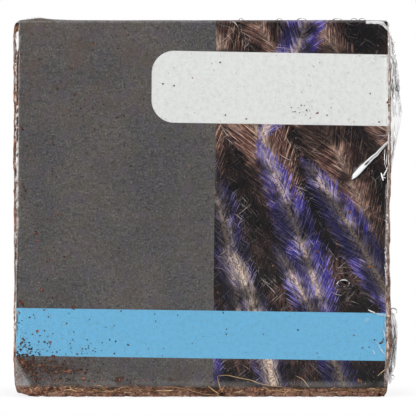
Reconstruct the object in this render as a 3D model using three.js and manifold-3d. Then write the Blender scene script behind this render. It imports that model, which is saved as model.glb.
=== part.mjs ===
// A pressed block of coconut coir, about 150 g, as sold for bedding and potting.
// A paper label is folded over the top of the block, and clear shrink film is drawn tight round both.
// Millimetres, +Z up. The block stands on its long edge, its printed face towards -Y.
// The origin is on the film's flat base, under the middle of the block.
import * as THREE from "three";
import { mergeVertices } from "three/addons/utils/BufferGeometryUtils.js";
import Module from "manifold-3d";

const wasm = await Module();
wasm.setup();

// Driving dimensions
const WIDTH = 100.4; // of the wrapped block, along X, without the seam fins
const HEIGHT = 100.5; // of the wrapped block, along Z, without the seam ridge
const BLOCK_DEPTH = 24.6; // of the pressed coir alone, along Y
const FILM = 0.25; // wall of the film
const PAPER = 0.2; // thickness of the label
const GAP = 0.2; // between the paper and what lies on either side of it
const SIDE_GAP = 0.35; // between the coir and the film, where no paper lies

// Corner radii of the wrapped block's outline, seen from the front
const CORNER = { bottomLeft: 3.4, bottomRight: 1.5, topRight: 1.6, topLeft: 2.2 };

// Coir block
const EDGE_ROUND = 1.1; // where the front and back faces turn into the sides
const CRUMBLE = 0.75; // deepest hollow in a face
const COARSE_LUMP = 10; // width of the larger hollows and lumps
const FINE_LUMP = 5.5; // width of the smaller ones
const COARSE_SHARE = 0.55; // of a hollow's depth that the larger ones make
const CHIP = 2.6; // deepest chip out of an edge
const CHIP_LENGTH = 6; // along the edge
const CHIP_LEAST = 0.4; // noise above which an edge is chipped
const CHIP_SPREAD = 3; // how far round an edge a chip keeps its depth
const BLOCK_CELLS = [24, 8, 24]; // facets along X, Y and Z
const CROWDING = 1.7; // above 1, facets are smaller towards the edges

// Label
const LABEL_WIDTH = 98.3;
const LABEL_SHIFT = 0.13; // of its middle, to the right
const LABEL_BOTTOM = 2.95; // height of its lower edge above the base, at the middle
const BACK_FLAP = 48; // how far it reaches down the back
const SKEW = THREE.MathUtils.degToRad(0.43); // the label sits slightly turned on the front
const FOLD_ROUND = 0.7; // outside of the two folds
const TOP_CORNER_CUT = 1.6; // leg of the corners that are tucked away at the folds

// Film
const FILM_EDGE = 0.85; // rounding of the film's front and back edges
const VENT = { x: 37.6, z: 30.3, halfWidth: 1.4, halfHeight: 0.85 };
const SEAM_Y = -4; // the welds stand in this plane, nearer to the front
const SEAM_WALL = 0.4; // the fins are two walls of film, welded
const FIN_WAVE = 6.5; // length of one ruffle
const FIN_RUFFLE = 1.3; // how far a ruffle swings to either side
const FULL_SWING = 1.5; // reach at which a ruffle swings its whole way
const LEAST_REACH = 0.1;
const WAVE_DRIFT = 0.7; // makes the ruffles uneven
const CELLS_PER_WAVE = 8;
const CELLS_UP = 3;
// Free edge of the fins on the right side: [height, reach past the film's side]
const UPPER_FIN = [
  [57.8, 0.15], [61.8, 1.0], [65.3, 2.1], [72.5, 3.5], [77, 3.8],
  [81.8, 3.1], [85.2, 2.8], [89.2, 2.0], [94, 1.4], [98.3, 0.15],
];
const LOWER_FIN = [
  [2.8, 0.15], [5.5, 0.8], [9, 1.5], [12.5, 2.2], [17, 2.4], [20.3, 1.8], [22, 2.2], [23.8, 0.15],
];
// Upright weld along the top: [X, reach above the film's top]
const TOP_SEAM = [
  [-48, 0.1], [-43.5, 1.0], [-38, 0.4], [-10, 0.3], [8.5, 0.6],
  [18, 0.4], [26, 0.8], [35, 0.9], [43, 0.8], [48, 0.1],
];
const SEAM_WAVE = 9;
const SEAM_RUFFLE = 0.8;

const SMALLEST_CORNER = 0.3;
const SAME_PLACE = 1e-4; // points nearer than this are one point
const BEYOND = 1; // how far a cutting shape reaches past what it cuts

// What follows from them
const halfWidth = WIDTH / 2;
const innerHalf = halfWidth - FILM;
const innerTop = HEIGHT - FILM;
const blockHalf = innerHalf - SIDE_GAP;
const blockHalfDepth = BLOCK_DEPTH / 2;
const blockLow = FILM + GAP;
const paperTop = innerTop - GAP;
const blockTop = paperTop - PAPER - GAP;
const paperFront = blockHalfDepth + GAP + PAPER;
const filmInnerDepth = paperFront + GAP;
const filmDepth = filmInnerDepth + FILM;

const COIR = new THREE.MeshStandardMaterial({ color: 0x7a5540, roughness: 0.95, metalness: 0 });
const PRINTED_PAPER = new THREE.MeshStandardMaterial({ color: 0x5a5858, roughness: 0.55, metalness: 0 });
const CLEAR_FILM = new THREE.MeshStandardMaterial({
  color: 0xf2f4f5, roughness: 0.12, metalness: 0, transparent: true, opacity: 0.25,
});

// A closed geometry as a solid, and a solid as a geometry again
function solid(geometry) {
  const bare = geometry.clone();
  bare.deleteAttribute("normal");
  bare.deleteAttribute("uv");
  const merged = mergeVertices(bare, SAME_PLACE);
  return new wasm.Manifold(
    new wasm.Mesh({
      numProp: 3,
      vertProperties: new Float32Array(merged.attributes.position.array),
      triVerts: new Uint32Array(merged.index.array),
    }),
  );
}

function geometryOf(body) {
  const mesh = body.getMesh();
  const geometry = new THREE.BufferGeometry();
  geometry.setAttribute("position", new THREE.BufferAttribute(mesh.vertProperties, 3));
  geometry.setIndex(new THREE.BufferAttribute(mesh.triVerts, 1));
  geometry.computeVertexNormals();
  return geometry;
}

// A number from 0 to 1 that depends on three whole numbers and looks random
function hash(x, y, z) {
  const s = Math.sin(x * 127.1 + y * 311.7 + z * 74.7) * 43758.5453;
  return s - Math.floor(s);
}

// Smooth random hollows and lumps, from 0 to 1, as wide as width; layer picks one field of many
function lumps(place, width, layer) {
  const scaled = place.map((t) => t / width);
  scaled[2] += layer;
  const [i, j, k] = scaled.map(Math.floor);
  const [u, v, w] = scaled.map((t) => t - Math.floor(t)).map((t) => t * t * (3 - 2 * t));
  const along = (b, c) => THREE.MathUtils.lerp(hash(i, b, c), hash(i + 1, b, c), u);
  const across = (c) => THREE.MathUtils.lerp(along(j, c), along(j + 1, c), v);
  return THREE.MathUtils.lerp(across(k), across(k + 1), w);
}

// Outline of the wrapped block seen from the front, grown by grow (or shrunk, if negative)
function outline(grow, low, high) {
  const half = halfWidth + grow;
  const radius = (name) => Math.max(CORNER[name] + grow, SMALLEST_CORNER);
  const [bl, br, tr, tl] = ["bottomLeft", "bottomRight", "topRight", "topLeft"].map(radius);
  const shape = new THREE.Shape();
  shape.moveTo(-half + bl, low);
  shape.lineTo(half - br, low);
  shape.absarc(half - br, low + br, br, -Math.PI / 2, 0);
  shape.lineTo(half, high - tr);
  shape.absarc(half - tr, high - tr, tr, 0, Math.PI / 2);
  shape.lineTo(-half + tl, high);
  shape.absarc(-half + tl, high - tl, tl, Math.PI / 2, Math.PI);
  shape.lineTo(-half, low + bl);
  shape.absarc(-half + bl, low + bl, bl, Math.PI, 1.5 * Math.PI);
  return shape;
}

// An outline made into a slab, its front and back edges rounded
function slab(shape, halfDepth, edge) {
  const geometry = new THREE.ExtrudeGeometry(shape, {
    depth: 2 * (halfDepth - edge),
    bevelThickness: edge,
    bevelSize: edge,
    bevelOffset: -edge,
    bevelSegments: 3,
    curveSegments: 5,
  });
  return geometry.translate(0, 0, -(halfDepth - edge)).rotateX(Math.PI / 2);
}

// Turns the square corner between two directions into a round one. Both are 0 at the corner and below 0
// inside it.
function roundCorner(a, b, radius) {
  const p = radius + a;
  const q = radius + b;
  if (p <= 0 || q <= 0) return [a, b];
  const scale = Math.max(p, q) / Math.hypot(p, q);
  return [p * scale - radius, q * scale - radius];
}

// The coir: a box with crowded facets towards its edges, its corners rounded and its faces crumbled inwards
function coirGeometry() {
  const box = new THREE.BoxGeometry(2, 2, 2, ...BLOCK_CELLS);
  box.deleteAttribute("normal");
  box.deleteAttribute("uv");
  const geometry = mergeVertices(box, SAME_PLACE);
  const place = geometry.attributes.position;
  const half = [blockHalf, blockHalfDepth, (blockTop - blockLow) / 2];
  const crowd = (t) => Math.sign(t) * (1 - Math.pow(1 - Math.abs(t), CROWDING));
  for (let i = 0; i < place.count; i++) {
    const t = [place.getX(i), place.getY(i), place.getZ(i)].map(crowd);
    const side = t.map(Math.sign);
    const corner = side[2] < 0
      ? (side[0] < 0 ? CORNER.bottomLeft : CORNER.bottomRight)
      : (side[0] < 0 ? CORNER.topLeft : CORNER.topRight);
    let [a, b, c] = t.map((value, axis) => (Math.abs(value) - 1) * half[axis]);
    [a, c] = roundCorner(a, c, corner);
    if (a >= c) [a, b] = roundCorner(a, b, EDGE_ROUND);
    else [c, b] = roundCorner(c, b, EDGE_ROUND);
    place.setXYZ(i, side[0] * (half[0] + a), side[1] * (half[1] + b), side[2] * (half[2] + c));
  }
  geometry.computeVertexNormals();
  const normal = geometry.attributes.normal;
  for (let i = 0; i < place.count; i++) {
    const at = [place.getX(i), place.getY(i), place.getZ(i)];
    const out = [normal.getX(i), normal.getY(i), normal.getZ(i)];
    const sharpness = 1 - Math.max(...out.map(Math.abs)); // 0 on a face, more on an edge
    const hollow = THREE.MathUtils.lerp(lumps(at, FINE_LUMP, 20), lumps(at, COARSE_LUMP, 0), COARSE_SHARE);
    const bite = Math.max(0, lumps(at, CHIP_LENGTH, 40) - CHIP_LEAST);
    const depth = CRUMBLE * hollow + CHIP * Math.min(1, sharpness * CHIP_SPREAD) * bite;
    place.setXYZ(i, ...at.map((value, axis) => value - out[axis] * depth));
  }
  return geometry.translate(0, 0, (blockTop + blockLow) / 2);
}

// The label's section, across the fold: front panel, top and back flap, one sheet thick
function foldedSection() {
  const [front, top, paperLow, flapLow] = [paperFront, paperTop, LABEL_BOTTOM, paperTop - BACK_FLAP];
  const inside = FOLD_ROUND - PAPER;
  const section = new THREE.Shape();
  section.moveTo(-front, paperLow);
  section.lineTo(-front + PAPER, paperLow);
  section.lineTo(-front + PAPER, top - FOLD_ROUND);
  section.absarc(-front + FOLD_ROUND, top - FOLD_ROUND, inside, Math.PI, Math.PI / 2, true);
  section.lineTo(front - FOLD_ROUND, top - PAPER);
  section.absarc(front - FOLD_ROUND, top - FOLD_ROUND, inside, Math.PI / 2, 0, true);
  section.lineTo(front - PAPER, flapLow);
  section.lineTo(front, flapLow);
  section.lineTo(front, top - FOLD_ROUND);
  section.absarc(front - FOLD_ROUND, top - FOLD_ROUND, FOLD_ROUND, 0, Math.PI / 2);
  section.lineTo(-front + FOLD_ROUND, top);
  section.absarc(-front + FOLD_ROUND, top - FOLD_ROUND, FOLD_ROUND, Math.PI / 2, Math.PI);
  section.lineTo(-front, paperLow);
  return section;
}

function labelGeometry() {
  const sheet = new THREE.ExtrudeGeometry(foldedSection(), {
    depth: LABEL_WIDTH, steps: 2, bevelEnabled: false, curveSegments: 5,
  });
  sheet.translate(0, 0, -LABEL_WIDTH / 2).rotateY(Math.PI / 2).rotateX(Math.PI / 2);
  let body = solid(sheet);
  for (const side of [-1, 1]) {
    const near = side * (LABEL_WIDTH / 2 - TOP_CORNER_CUT);
    const far = side * (LABEL_WIDTH / 2 + BEYOND);
    const wedge = new THREE.Shape();
    wedge.moveTo(near, paperTop);
    wedge.lineTo(near, paperTop + BEYOND);
    wedge.lineTo(far, paperTop + BEYOND);
    wedge.lineTo(far, paperTop - TOP_CORNER_CUT - BEYOND);
    wedge.closePath();
    const length = 2 * (filmDepth + BEYOND);
    const cutter = new THREE.ExtrudeGeometry(wedge, { depth: length, bevelEnabled: false });
    body = body.subtract(solid(cutter.translate(0, 0, -length / 2).rotateX(Math.PI / 2)));
  }
  // The front panel leans to the right as it rises, and its lower edge falls to the right
  const geometry = geometryOf(body);
  const place = geometry.attributes.position;
  const middle = (paperTop + LABEL_BOTTOM) / 2;
  for (let i = 0; i < place.count; i++) {
    const [x, z] = [place.getX(i), place.getZ(i)];
    const onFront = place.getY(i) < 0;
    const height = onFront ? z : paperTop;
    const below = onFront ? Math.max(0, (middle - z) / (middle - LABEL_BOTTOM)) : 0;
    place.setX(i, x + LABEL_SHIFT + Math.tan(SKEW) * (height - middle));
    place.setZ(i, z - Math.tan(SKEW) * x * below);
  }
  return geometry;
}

// A welded strip of film that stands on the wrap. Its free edge follows points of [along, reach], and it
// swings from side to side in ruffles that grow towards that edge. It is made along X and stands on +Z.
function ruffle(points, wave, swing) {
  const edge = new THREE.CatmullRomCurve3(points.map(([along, reach]) => new THREE.Vector3(along, 0, reach)));
  const first = points[0][0];
  const last = points[points.length - 1][0];
  const cells = Math.ceil(((last - first) / wave) * CELLS_PER_WAVE);
  const strip = new THREE.BoxGeometry(1, SEAM_WALL, 1, cells, 1, CELLS_UP);
  const place = strip.attributes.position;
  for (let i = 0; i < place.count; i++) {
    const share = place.getX(i) + 0.5;
    const up = place.getZ(i) + 0.5;
    const at = edge.getPoint(share);
    const reach = Math.max(at.z, LEAST_REACH);
    const turn = (2 * Math.PI * at.x) / wave + Math.sin(at.x * WAVE_DRIFT);
    const side = swing * Math.sin(turn) * Math.min(1, (up * reach) / FULL_SWING);
    place.setXYZ(i, at.x, place.getY(i) + side, up * (reach + FILM / 2) - FILM / 2);
  }
  return strip;
}

// The oval plug whose shape is taken out of the film's front
function ventGeometry() {
  const hole = new THREE.Shape();
  hole.absellipse(VENT.x, VENT.z, VENT.halfWidth, VENT.halfHeight, 0, 2 * Math.PI);
  const plug = new THREE.ExtrudeGeometry(hole, { depth: 2 * BEYOND, bevelEnabled: false, curveSegments: 10 });
  return plug.rotateX(Math.PI / 2).translate(0, BEYOND - filmInnerDepth, 0);
}

function filmGeometry() {
  const skin = solid(slab(outline(0, 0, HEIGHT), filmDepth, FILM_EDGE));
  const room = solid(slab(outline(-FILM, FILM, innerTop), filmInnerDepth, FILM_EDGE - FILM));
  let body = skin.subtract(room);
  for (const points of [UPPER_FIN, LOWER_FIN]) {
    const fin = ruffle(points, FIN_WAVE, FIN_RUFFLE).rotateY(-Math.PI / 2).scale(-1, 1, 1);
    body = body.add(solid(flipped(fin.translate(halfWidth, SEAM_Y, 0))));
  }
  const seam = ruffle(TOP_SEAM, SEAM_WAVE, SEAM_RUFFLE).translate(0, SEAM_Y, HEIGHT);
  body = body.add(solid(seam));
  return geometryOf(body.subtract(solid(ventGeometry())));
}

// A mirrored geometry has its faces turned round again
function flipped(geometry) {
  const index = geometry.index.array;
  for (let i = 0; i < index.length; i += 3) [index[i + 1], index[i + 2]] = [index[i + 2], index[i + 1]];
  return geometry;
}

function piece(name, geometry, material) {
  const mesh = new THREE.Mesh(geometry, material);
  mesh.name = name;
  return mesh;
}

const bale = new THREE.Group();
bale.add(piece("coir_block", coirGeometry(), COIR));
bale.add(piece("paper_label", labelGeometry(), PRINTED_PAPER));
bale.add(piece("shrink_film", filmGeometry(), CLEAR_FILM));
export default bale;
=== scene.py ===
# %% [markdown]
# # A block of coconut coir in shrink film
# The object is a small block of pressed coconut coir, 100 mm square and 26 mm thick. A printed paper label
# is folded over its top, and clear film is shrunk tight round both. It stands on a narrow side.
# The lesson builds three kinds of thing: a rough natural mass, a printed sheet, and a thin clear skin. The
# skin is what makes the object real to the eye, so the creases and the light on them get the most work.

# %% Load the frame
import math

import bmesh
import bpy
import numpy as np
from mathutils import Euler, Matrix, Vector, noise
from mathutils.bvhtree import BVHTree


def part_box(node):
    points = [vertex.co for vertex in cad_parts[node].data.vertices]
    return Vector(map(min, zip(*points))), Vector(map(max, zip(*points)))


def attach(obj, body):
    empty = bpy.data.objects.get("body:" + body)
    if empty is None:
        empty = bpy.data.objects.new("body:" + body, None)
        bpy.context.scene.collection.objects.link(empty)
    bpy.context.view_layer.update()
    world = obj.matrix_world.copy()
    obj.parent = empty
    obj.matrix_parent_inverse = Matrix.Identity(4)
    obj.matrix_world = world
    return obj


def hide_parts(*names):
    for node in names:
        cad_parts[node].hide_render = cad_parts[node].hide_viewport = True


MM = 0.001
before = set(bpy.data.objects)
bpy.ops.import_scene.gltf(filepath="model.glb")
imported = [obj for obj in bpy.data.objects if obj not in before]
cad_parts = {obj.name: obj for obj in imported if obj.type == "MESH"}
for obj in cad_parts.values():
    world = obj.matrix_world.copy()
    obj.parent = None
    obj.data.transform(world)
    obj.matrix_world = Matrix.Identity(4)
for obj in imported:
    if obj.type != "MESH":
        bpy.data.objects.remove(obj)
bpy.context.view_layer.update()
print("nodes", sorted(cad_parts))

# %% [markdown]
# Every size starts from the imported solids. The film's left side and front carry no fin, so they give half the
# width of the wrapped block and its front plane. A ridge stands on the film's top, so the label gives that.

# %% Places that the frame gives
coir_low, coir_high = (np.array(corner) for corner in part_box("coir_block"))
label_low, label_high = (np.array(corner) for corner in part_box("paper_label"))
film_low = np.array(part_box("shrink_film")[0])

PAPER = 0.2 * MM
GAP = 0.2 * MM  # which the solids leave on either side of the label
FILM_WALL = 0.25 * MM
half_width = -film_low[0]
film_front = film_low[1]
film_top = label_high[2] + GAP + FILM_WALL
wrap_low = np.array((-half_width, film_front, 0.0))
wrap_high = np.array((half_width, -film_front, film_top))
label_front = label_low[1]
label_top = label_high[2] + GAP  # the real paper lies close under the film
CORNERS = {"bottom_left": 3.4 * MM, "bottom_right": 1.5 * MM, "top_right": 1.0 * MM, "top_left": 2.2 * MM}
print("wrapped block", np.round((wrap_high - wrap_low) / MM, 2), "mm")

# %% [markdown]
# The camera comes first, because the light and every fine detail are judged through it. The photograph was
# taken with a long lens from straight in front and a little above. One pixel is a little over a quarter of
# a millimetre on the printed face.

# %% Camera
PHOTO_PIXELS = 416
PIXELS_PER_MM = 3.76
MIDDLE_PIXEL = 202.25  # column of the block's middle
BASE_PIXEL = 397.5  # row of its base
CAMERA_DISTANCE = 0.9
CAMERA_RISE = math.radians(1.5)
SENSOR = 36.0

frame_width = PHOTO_PIXELS / PIXELS_PER_MM * MM
aim = Vector((
    (PHOTO_PIXELS / 2 - MIDDLE_PIXEL) / PIXELS_PER_MM * MM,
    film_front,
    (BASE_PIXEL - PHOTO_PIXELS / 2) / PIXELS_PER_MM * MM,
))
camera = bpy.data.objects.new("camera", bpy.data.cameras.new("camera"))
bpy.context.scene.collection.objects.link(camera)
bpy.context.scene.camera = camera
camera.data.sensor_width = SENSOR
camera.data.lens = SENSOR * CAMERA_DISTANCE / frame_width
camera.data.clip_start = 0.01
camera.location = aim + CAMERA_DISTANCE * Vector((0, -math.cos(CAMERA_RISE), math.sin(CAMERA_RISE)))
camera.rotation_euler = (math.pi / 2 - CAMERA_RISE, 0, 0)
print("lens", round(camera.data.lens, 1), "mm")

# %% [markdown]
# Node trees get long, so a few short helpers write them: one adds a node with its settings, some do
# arithmetic, one fades a number from 0 to 1 between two values, and one lays one colour over another.
# Colours are written as they look on a screen, from 0 to 255, and turned into light here.

# %% Helpers for node trees
def screen(red, green, blue):
    channels = [value / 255 for value in (red, green, blue)]
    return (*[c / 12.92 if c <= 0.04045 else ((c + 0.055) / 1.055) ** 2.4 for c in channels], 1.0)


def plug(tree, value, socket):
    if isinstance(value, bpy.types.NodeSocket):
        tree.links.new(value, socket)
    else:
        socket.default_value = value


def add(tree, kind, inputs=None, **settings):
    made = tree.nodes.new(kind)
    for name, value in settings.items():
        setattr(made, name, value)
    for name, value in (inputs or {}).items():
        plug(tree, value, made.inputs[name])
    return made


def calc(tree, operation, *values):
    made = add(tree, "ShaderNodeMath", operation=operation)
    for value, socket in zip(values, made.inputs):
        plug(tree, value, socket)
    return made.outputs[0]


def times(tree, a, b):
    return calc(tree, "MULTIPLY", a, b)


def plus(tree, a, b):
    return calc(tree, "ADD", a, b)


def minus(tree, a, b):
    return calc(tree, "SUBTRACT", a, b)


def fade(tree, value, start, end):
    """0 where value is at start, 1 where it is at end, with a soft passage between"""
    made = add(tree, "ShaderNodeMapRange", interpolation_type="SMOOTHSTEP")
    for name, given in (("Value", value), ("From Min", start), ("From Max", end)):
        plug(tree, given, made.inputs[name])
    return made.outputs["Result"]


def lay(tree, under, over, mask, mode="MIX"):
    made = add(tree, "ShaderNodeMix", data_type="RGBA", blend_type=mode)
    for value, socket in zip((mask, under, over), (made.inputs[0], made.inputs[6], made.inputs[7])):
        plug(tree, value, socket)
    return made.outputs[2]


def between(tree, mask, low, high):
    made = add(tree, "ShaderNodeMix", {"Factor": mask, "A": low, "B": high}, data_type="FLOAT")
    return made.outputs["Result"]


def drawn(tree, name):
    """A value that the mesh carries for each point"""
    return add(tree, "ShaderNodeAttribute", attribute_name=name).outputs["Fac"]


def split(tree, vector):
    return add(tree, "ShaderNodeSeparateXYZ", {"Vector": vector}).outputs


def join(tree, x, y, z):
    return add(tree, "ShaderNodeCombineXYZ", {"X": x, "Y": y, "Z": z}).outputs[0]


def scaled(tree, vector, factors):
    made = add(tree, "ShaderNodeVectorMath", operation="MULTIPLY")
    plug(tree, vector, made.inputs[0])
    plug(tree, factors, made.inputs[1])
    return made.outputs[0]


def shifted(tree, vector, step):
    made = add(tree, "ShaderNodeVectorMath", operation="ADD")
    plug(tree, vector, made.inputs[0])
    plug(tree, step, made.inputs[1])
    return made.outputs[0]


def cloud(tree, place, scale, detail=3.0, roughness=0.55, distortion=0.0):
    """Smooth noise from 0 to 1, with scale features to each unit of place"""
    made = add(tree, "ShaderNodeTexNoise", {
        "Vector": place, "Scale": scale, "Detail": detail, "Roughness": roughness, "Distortion": distortion,
    })
    return made.outputs["Fac"]


VECTOR, FLOAT, COLOUR = "NodeSocketVector", "NodeSocketFloat", "NodeSocketColor"


def group(name, takes, gives):
    """An empty node group, and the ends that its nodes join"""
    tree = bpy.data.node_groups.new(name, "ShaderNodeTree")
    for label, kind, value in takes:
        socket = tree.interface.new_socket(label, in_out="INPUT", socket_type=kind)
        if value is not None:
            socket.default_value = value
    for label, kind in gives:
        tree.interface.new_socket(label, in_out="OUTPUT", socket_type=kind)
    return tree, tree.nodes.new("NodeGroupInput").outputs, tree.nodes.new("NodeGroupOutput").inputs


def use(tree, shared, **inputs):
    """Places a node group, with its inputs named in lower case, and returns its outputs"""
    made = tree.nodes.new("ShaderNodeGroup")
    made.node_tree = shared
    for name, value in inputs.items():
        plug(tree, value, made.inputs[name.replace("_", " ").capitalize()])
    return made.outputs


def finish_of(name):
    """A new material with its tree and its Principled shader"""
    material = bpy.data.materials.new(name)
    material.use_nodes = True
    return material, material.node_tree, material.node_tree.nodes["Principled BSDF"]


# %% [markdown]
# Both the coir and the film are boxes with rounded corners, so the same helpers make them. A cube is cut
# into even cells with the subdivide operator, made finer where detail is wanted, and then its points are
# moved: first round the four long corners, each with its own radius, then round the front and back edges.

# %% A rounded box cut into cells
TINY = 1e-9  # keeps a length of nothing from being divided by


def cell_box(low, high, cell):
    bm = bmesh.new()
    bmesh.ops.create_cube(bm, size=1)
    bmesh.ops.scale(bm, vec=high - low, verts=bm.verts)
    bmesh.ops.translate(bm, vec=(low + high) / 2, verts=bm.verts)
    for axis in range(3):
        along = [e for e in bm.edges if abs(e.verts[0].co[axis] - e.verts[1].co[axis]) > cell / 100]
        bmesh.ops.subdivide_edges(bm, edges=along, cuts=round((high[axis] - low[axis]) / cell) - 1)
    return bm


def refine(bm, wanted):
    """Halves the cells where all their corners are wanted"""
    edges = [e for e in bm.edges if wanted(e.verts[0].co) and wanted(e.verts[1].co)]
    bmesh.ops.subdivide_edges(bm, edges=edges, cuts=1, use_grid_fill=True)


def round_pair(a, b, radius):
    """Two distances inwards, both 0 on the sharp corner and below 0 inside it, made to follow a round one"""
    p, q = radius + a, radius + b
    near = (p > 0) & (q > 0)
    scale = np.where(near, np.maximum(p, q) / np.maximum(np.hypot(p, q), TINY), 1.0)
    return np.where(near, p * scale - radius, a), np.where(near, q * scale - radius, b)


def rounded(points, low, high, corners, edge):
    centre, half = (low + high) / 2, (high - low) / 2
    side = np.where(points >= centre, 1.0, -1.0)
    radii = np.array((
        (corners["bottom_left"], corners["top_left"]),
        (corners["bottom_right"], corners["top_right"]),
    ))[(side[:, 0] > 0).astype(int), (side[:, 2] > 0).astype(int)]
    a, b, c = (np.abs(points - centre) - half).T
    a, c = round_pair(a, c, radii)
    wide = a >= c
    a_round, b_wide = round_pair(a, b, edge)
    c_round, b_tall = round_pair(c, b, edge)
    inward = np.stack((
        np.where(wide, a_round, a), np.where(wide, b_wide, b_tall), np.where(wide, c, c_round),
    ), 1)
    return centre + side * (half + inward)


# %% Helpers for meshes
def points_of(mesh):
    flat = np.empty(len(mesh.vertices) * 3)
    mesh.vertices.foreach_get("co", flat)
    return flat.reshape(-1, 3)


def normals_of(mesh):
    flat = np.empty(len(mesh.vertices) * 3)
    mesh.vertices.foreach_get("normal", flat)
    return flat.reshape(-1, 3)


def set_points(mesh, points):
    mesh.vertices.foreach_set("co", np.ascontiguousarray(points).ravel())
    mesh.update()


def set_values(mesh, name, values):
    attribute = mesh.attributes.new(name, "FLOAT", "POINT")
    attribute.data.foreach_set("value", np.asarray(values, dtype=float))


def mesh_from(bm, name):
    mesh = bpy.data.meshes.new(name)
    bm.to_mesh(mesh)
    bm.free()
    mesh.shade_smooth()
    return mesh


def piece(name, mesh, material):
    made = bpy.data.objects.new(name, mesh)
    bpy.context.scene.collection.objects.link(made)
    mesh.materials.clear()
    mesh.materials.append(material)
    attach(made, "root")
    faces = sum(len(face.vertices) - 2 for face in mesh.polygons)
    print(name, faces, "triangles")
    return made


def lumps(points, width, octaves=3, seed=0.0):
    """Noise from about -1 to 1 at each point, its largest lumps as wide as width, which may differ by axis"""
    placed = points / np.asarray(width) + seed
    return np.array([noise.fractal(Vector(p), 1.0, 2.0, octaves) for p in placed])


# %% [markdown]
# Coir is ground coconut husk: pith, which is a spongy brown dust, and short fibres. Pressed, it looks like
# dark compact crumb with paler hairs in it. Its colour is one shared group, because the block, its grains and
# the crumbs on the label are the same stuff. Voronoi cells give each clod its own tone, and noise is the dust.

# %% Shared colour of pith
PITH_DARK = screen(70, 48, 40)
PITH_BROWN = screen(145, 110, 93)
PITH_TAN = screen(202, 170, 149)
RUST = (1.5, 0.98, 0.66, 1.0)  # loose grains are redder
PITH_SHADE_AND_DARK_GRAIN = screen(34, 22, 18)
CLODS_PER_METRE = 900.0

pith, take, give = group(
    "pith",
    (("Place", VECTOR, None), ("Tone", FLOAT, 0.5), ("Warmth", FLOAT, 0.0)),
    (("Color", COLOUR), ("Height", FLOAT)),
)
clod_cells = {"Vector": take["Place"], "Scale": CLODS_PER_METRE}
clods = add(pith, "ShaderNodeTexVoronoi", clod_cells, feature="F1")
cracks = add(pith, "ShaderNodeTexVoronoi", clod_cells, feature="DISTANCE_TO_EDGE")
dust = cloud(pith, take["Place"], 1900.0, 5.0, 0.7)
broad = cloud(pith, take["Place"], 120.0, 3.0, 0.6)
clod_tone = split(pith, clods.outputs["Color"])[0]
tone = plus(pith, times(pith, clod_tone, 0.32), between(pith, dust, -0.55, 0.99))
tone = plus(pith, tone, times(pith, minus(pith, broad, 0.5), 0.7))
tone = plus(pith, tone, times(pith, minus(pith, take["Tone"], 0.5), 0.8))
crack = fade(pith, cracks.outputs["Distance"], 0.0, 0.12)
colour = lay(pith, PITH_DARK, PITH_BROWN, fade(pith, tone, 0.1, 0.5))
colour = lay(pith, colour, PITH_TAN, fade(pith, tone, 0.5, 0.95))
# The cracks between clods are laid dark: painted shade
colour = lay(pith, PITH_DARK, colour, between(pith, crack, 0.6, 1.0))
plug(pith, lay(pith, colour, RUST, take["Warmth"], "MULTIPLY"), give["Color"])
plug(pith, plus(pith, times(pith, crack, 0.5), dust), give["Height"])


def pith_finish(name, loose=False, rusty=(0.25, 0.6)):
    """Pressed pith, with painted shade in its deep hollows, or loose grains of it, which each have a tone and
    are redder
    """
    material, tree, shader = finish_of(name)
    place = add(tree, "ShaderNodeTexCoord").outputs["Object"]
    if loose:
        tone = drawn(tree, "tone")
        warmth = between(tree, tone, *rusty)
        hollow = fade(tree, tone, 0.3, 0.0)
    else:
        tone = 0.5
        left = fade(tree, split(tree, place)[0], -48.2 * MM, -49.2 * MM)
        patchy = fade(tree, cloud(tree, place, 420.0, 4.0), 0.46, 0.66)
        warmth = times(tree, patchy, between(tree, left, 0.4, 1.0))
        hollow = drawn(tree, "hollow")
    out = use(tree, pith, place=place, tone=tone, warmth=warmth)
    # On the block this is painted shade in the hollows; on loose grains it is the dark of their own tone
    colour = lay(tree, out["Color"], PITH_SHADE_AND_DARK_GRAIN, times(tree, hollow, 0.7))
    bump = add(tree, "ShaderNodeBump", {"Height": out["Height"], "Strength": 0.5, "Distance": 0.2 * MM})
    plug(tree, colour, shader.inputs["Base Color"])
    plug(tree, bump.outputs[0], shader.inputs["Normal"])
    shader.inputs["Roughness"].default_value = 0.92
    shader.inputs["Specular IOR Level"].default_value = 0.25
    return material


# %% [markdown]
# The block itself is one mass. Its relief is modelled, not only shaded: clods a millimetre or two wide with
# cracks between them, flattened because the block was pressed from front to back, and bites out of the edges
# where it crumbles. The label hides most of the front, so all the rest gets the fine cells, and the strip
# round the label gets the finest. The block fills the film, so its highest clods set the outline.

# %% The coir mass
COIR_CELL = 1.1 * MM
COIR_EDGE = 0.5 * MM
STRIP_TOP = 5 * MM  # below this the front of the block shows under the label
STRIP_SIDE = 3 * MM
PRESSED = 2.2  # clods are this much wider than thick
CLOD = 1.7 * MM
CRACK_DEPTH = 0.22 * MM
GRAIN = 1.0 * MM
GRAIN_DEPTH = 0.11 * MM
SWELL = 6 * MM
SWELL_DEPTH = 0.12 * MM
EDGE_BITE = 1.2 * MM
BITE_LENGTH = 7 * MM
BITE_WIDTH = 2.2 * MM
BASE_BITES = (
    # depth, length, octaves and seed of the bites out of the lowest edge, the noise above which one is taken
    # and the most that counts
    (1.5 * MM, 3.2 * MM, 3, 11.0, 0.05, 0.5),
    (0.7 * MM, 1.1 * MM, 2, 15.0, 0.0, 0.6),
)
UNDER_LABEL_DEPTH = 0.8 * MM  # of the dark hollows below the label's lower edge
OVERFILL = 0.22 * MM  # the hollows only take away, so the block starts this much too large
FLATTENED = 0.65 * MM  # and the base is pressed flat by its own weight
BASE_UNEVEN = 0.3 * MM
WEAR = (
    # side, which end, how far along the edge and how deep the corner is worn
    (-1, "base", 10 * MM, 0.5 * MM),
    (1, "base", 14 * MM, 1.35 * MM),
    (1, "top", 14 * MM, 0.7 * MM),
)
SWOLLEN = (15.5 * MM, 4.5 * MM, 0.45 * MM)  # height, spread and depth of a swelling in the right side
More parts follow.
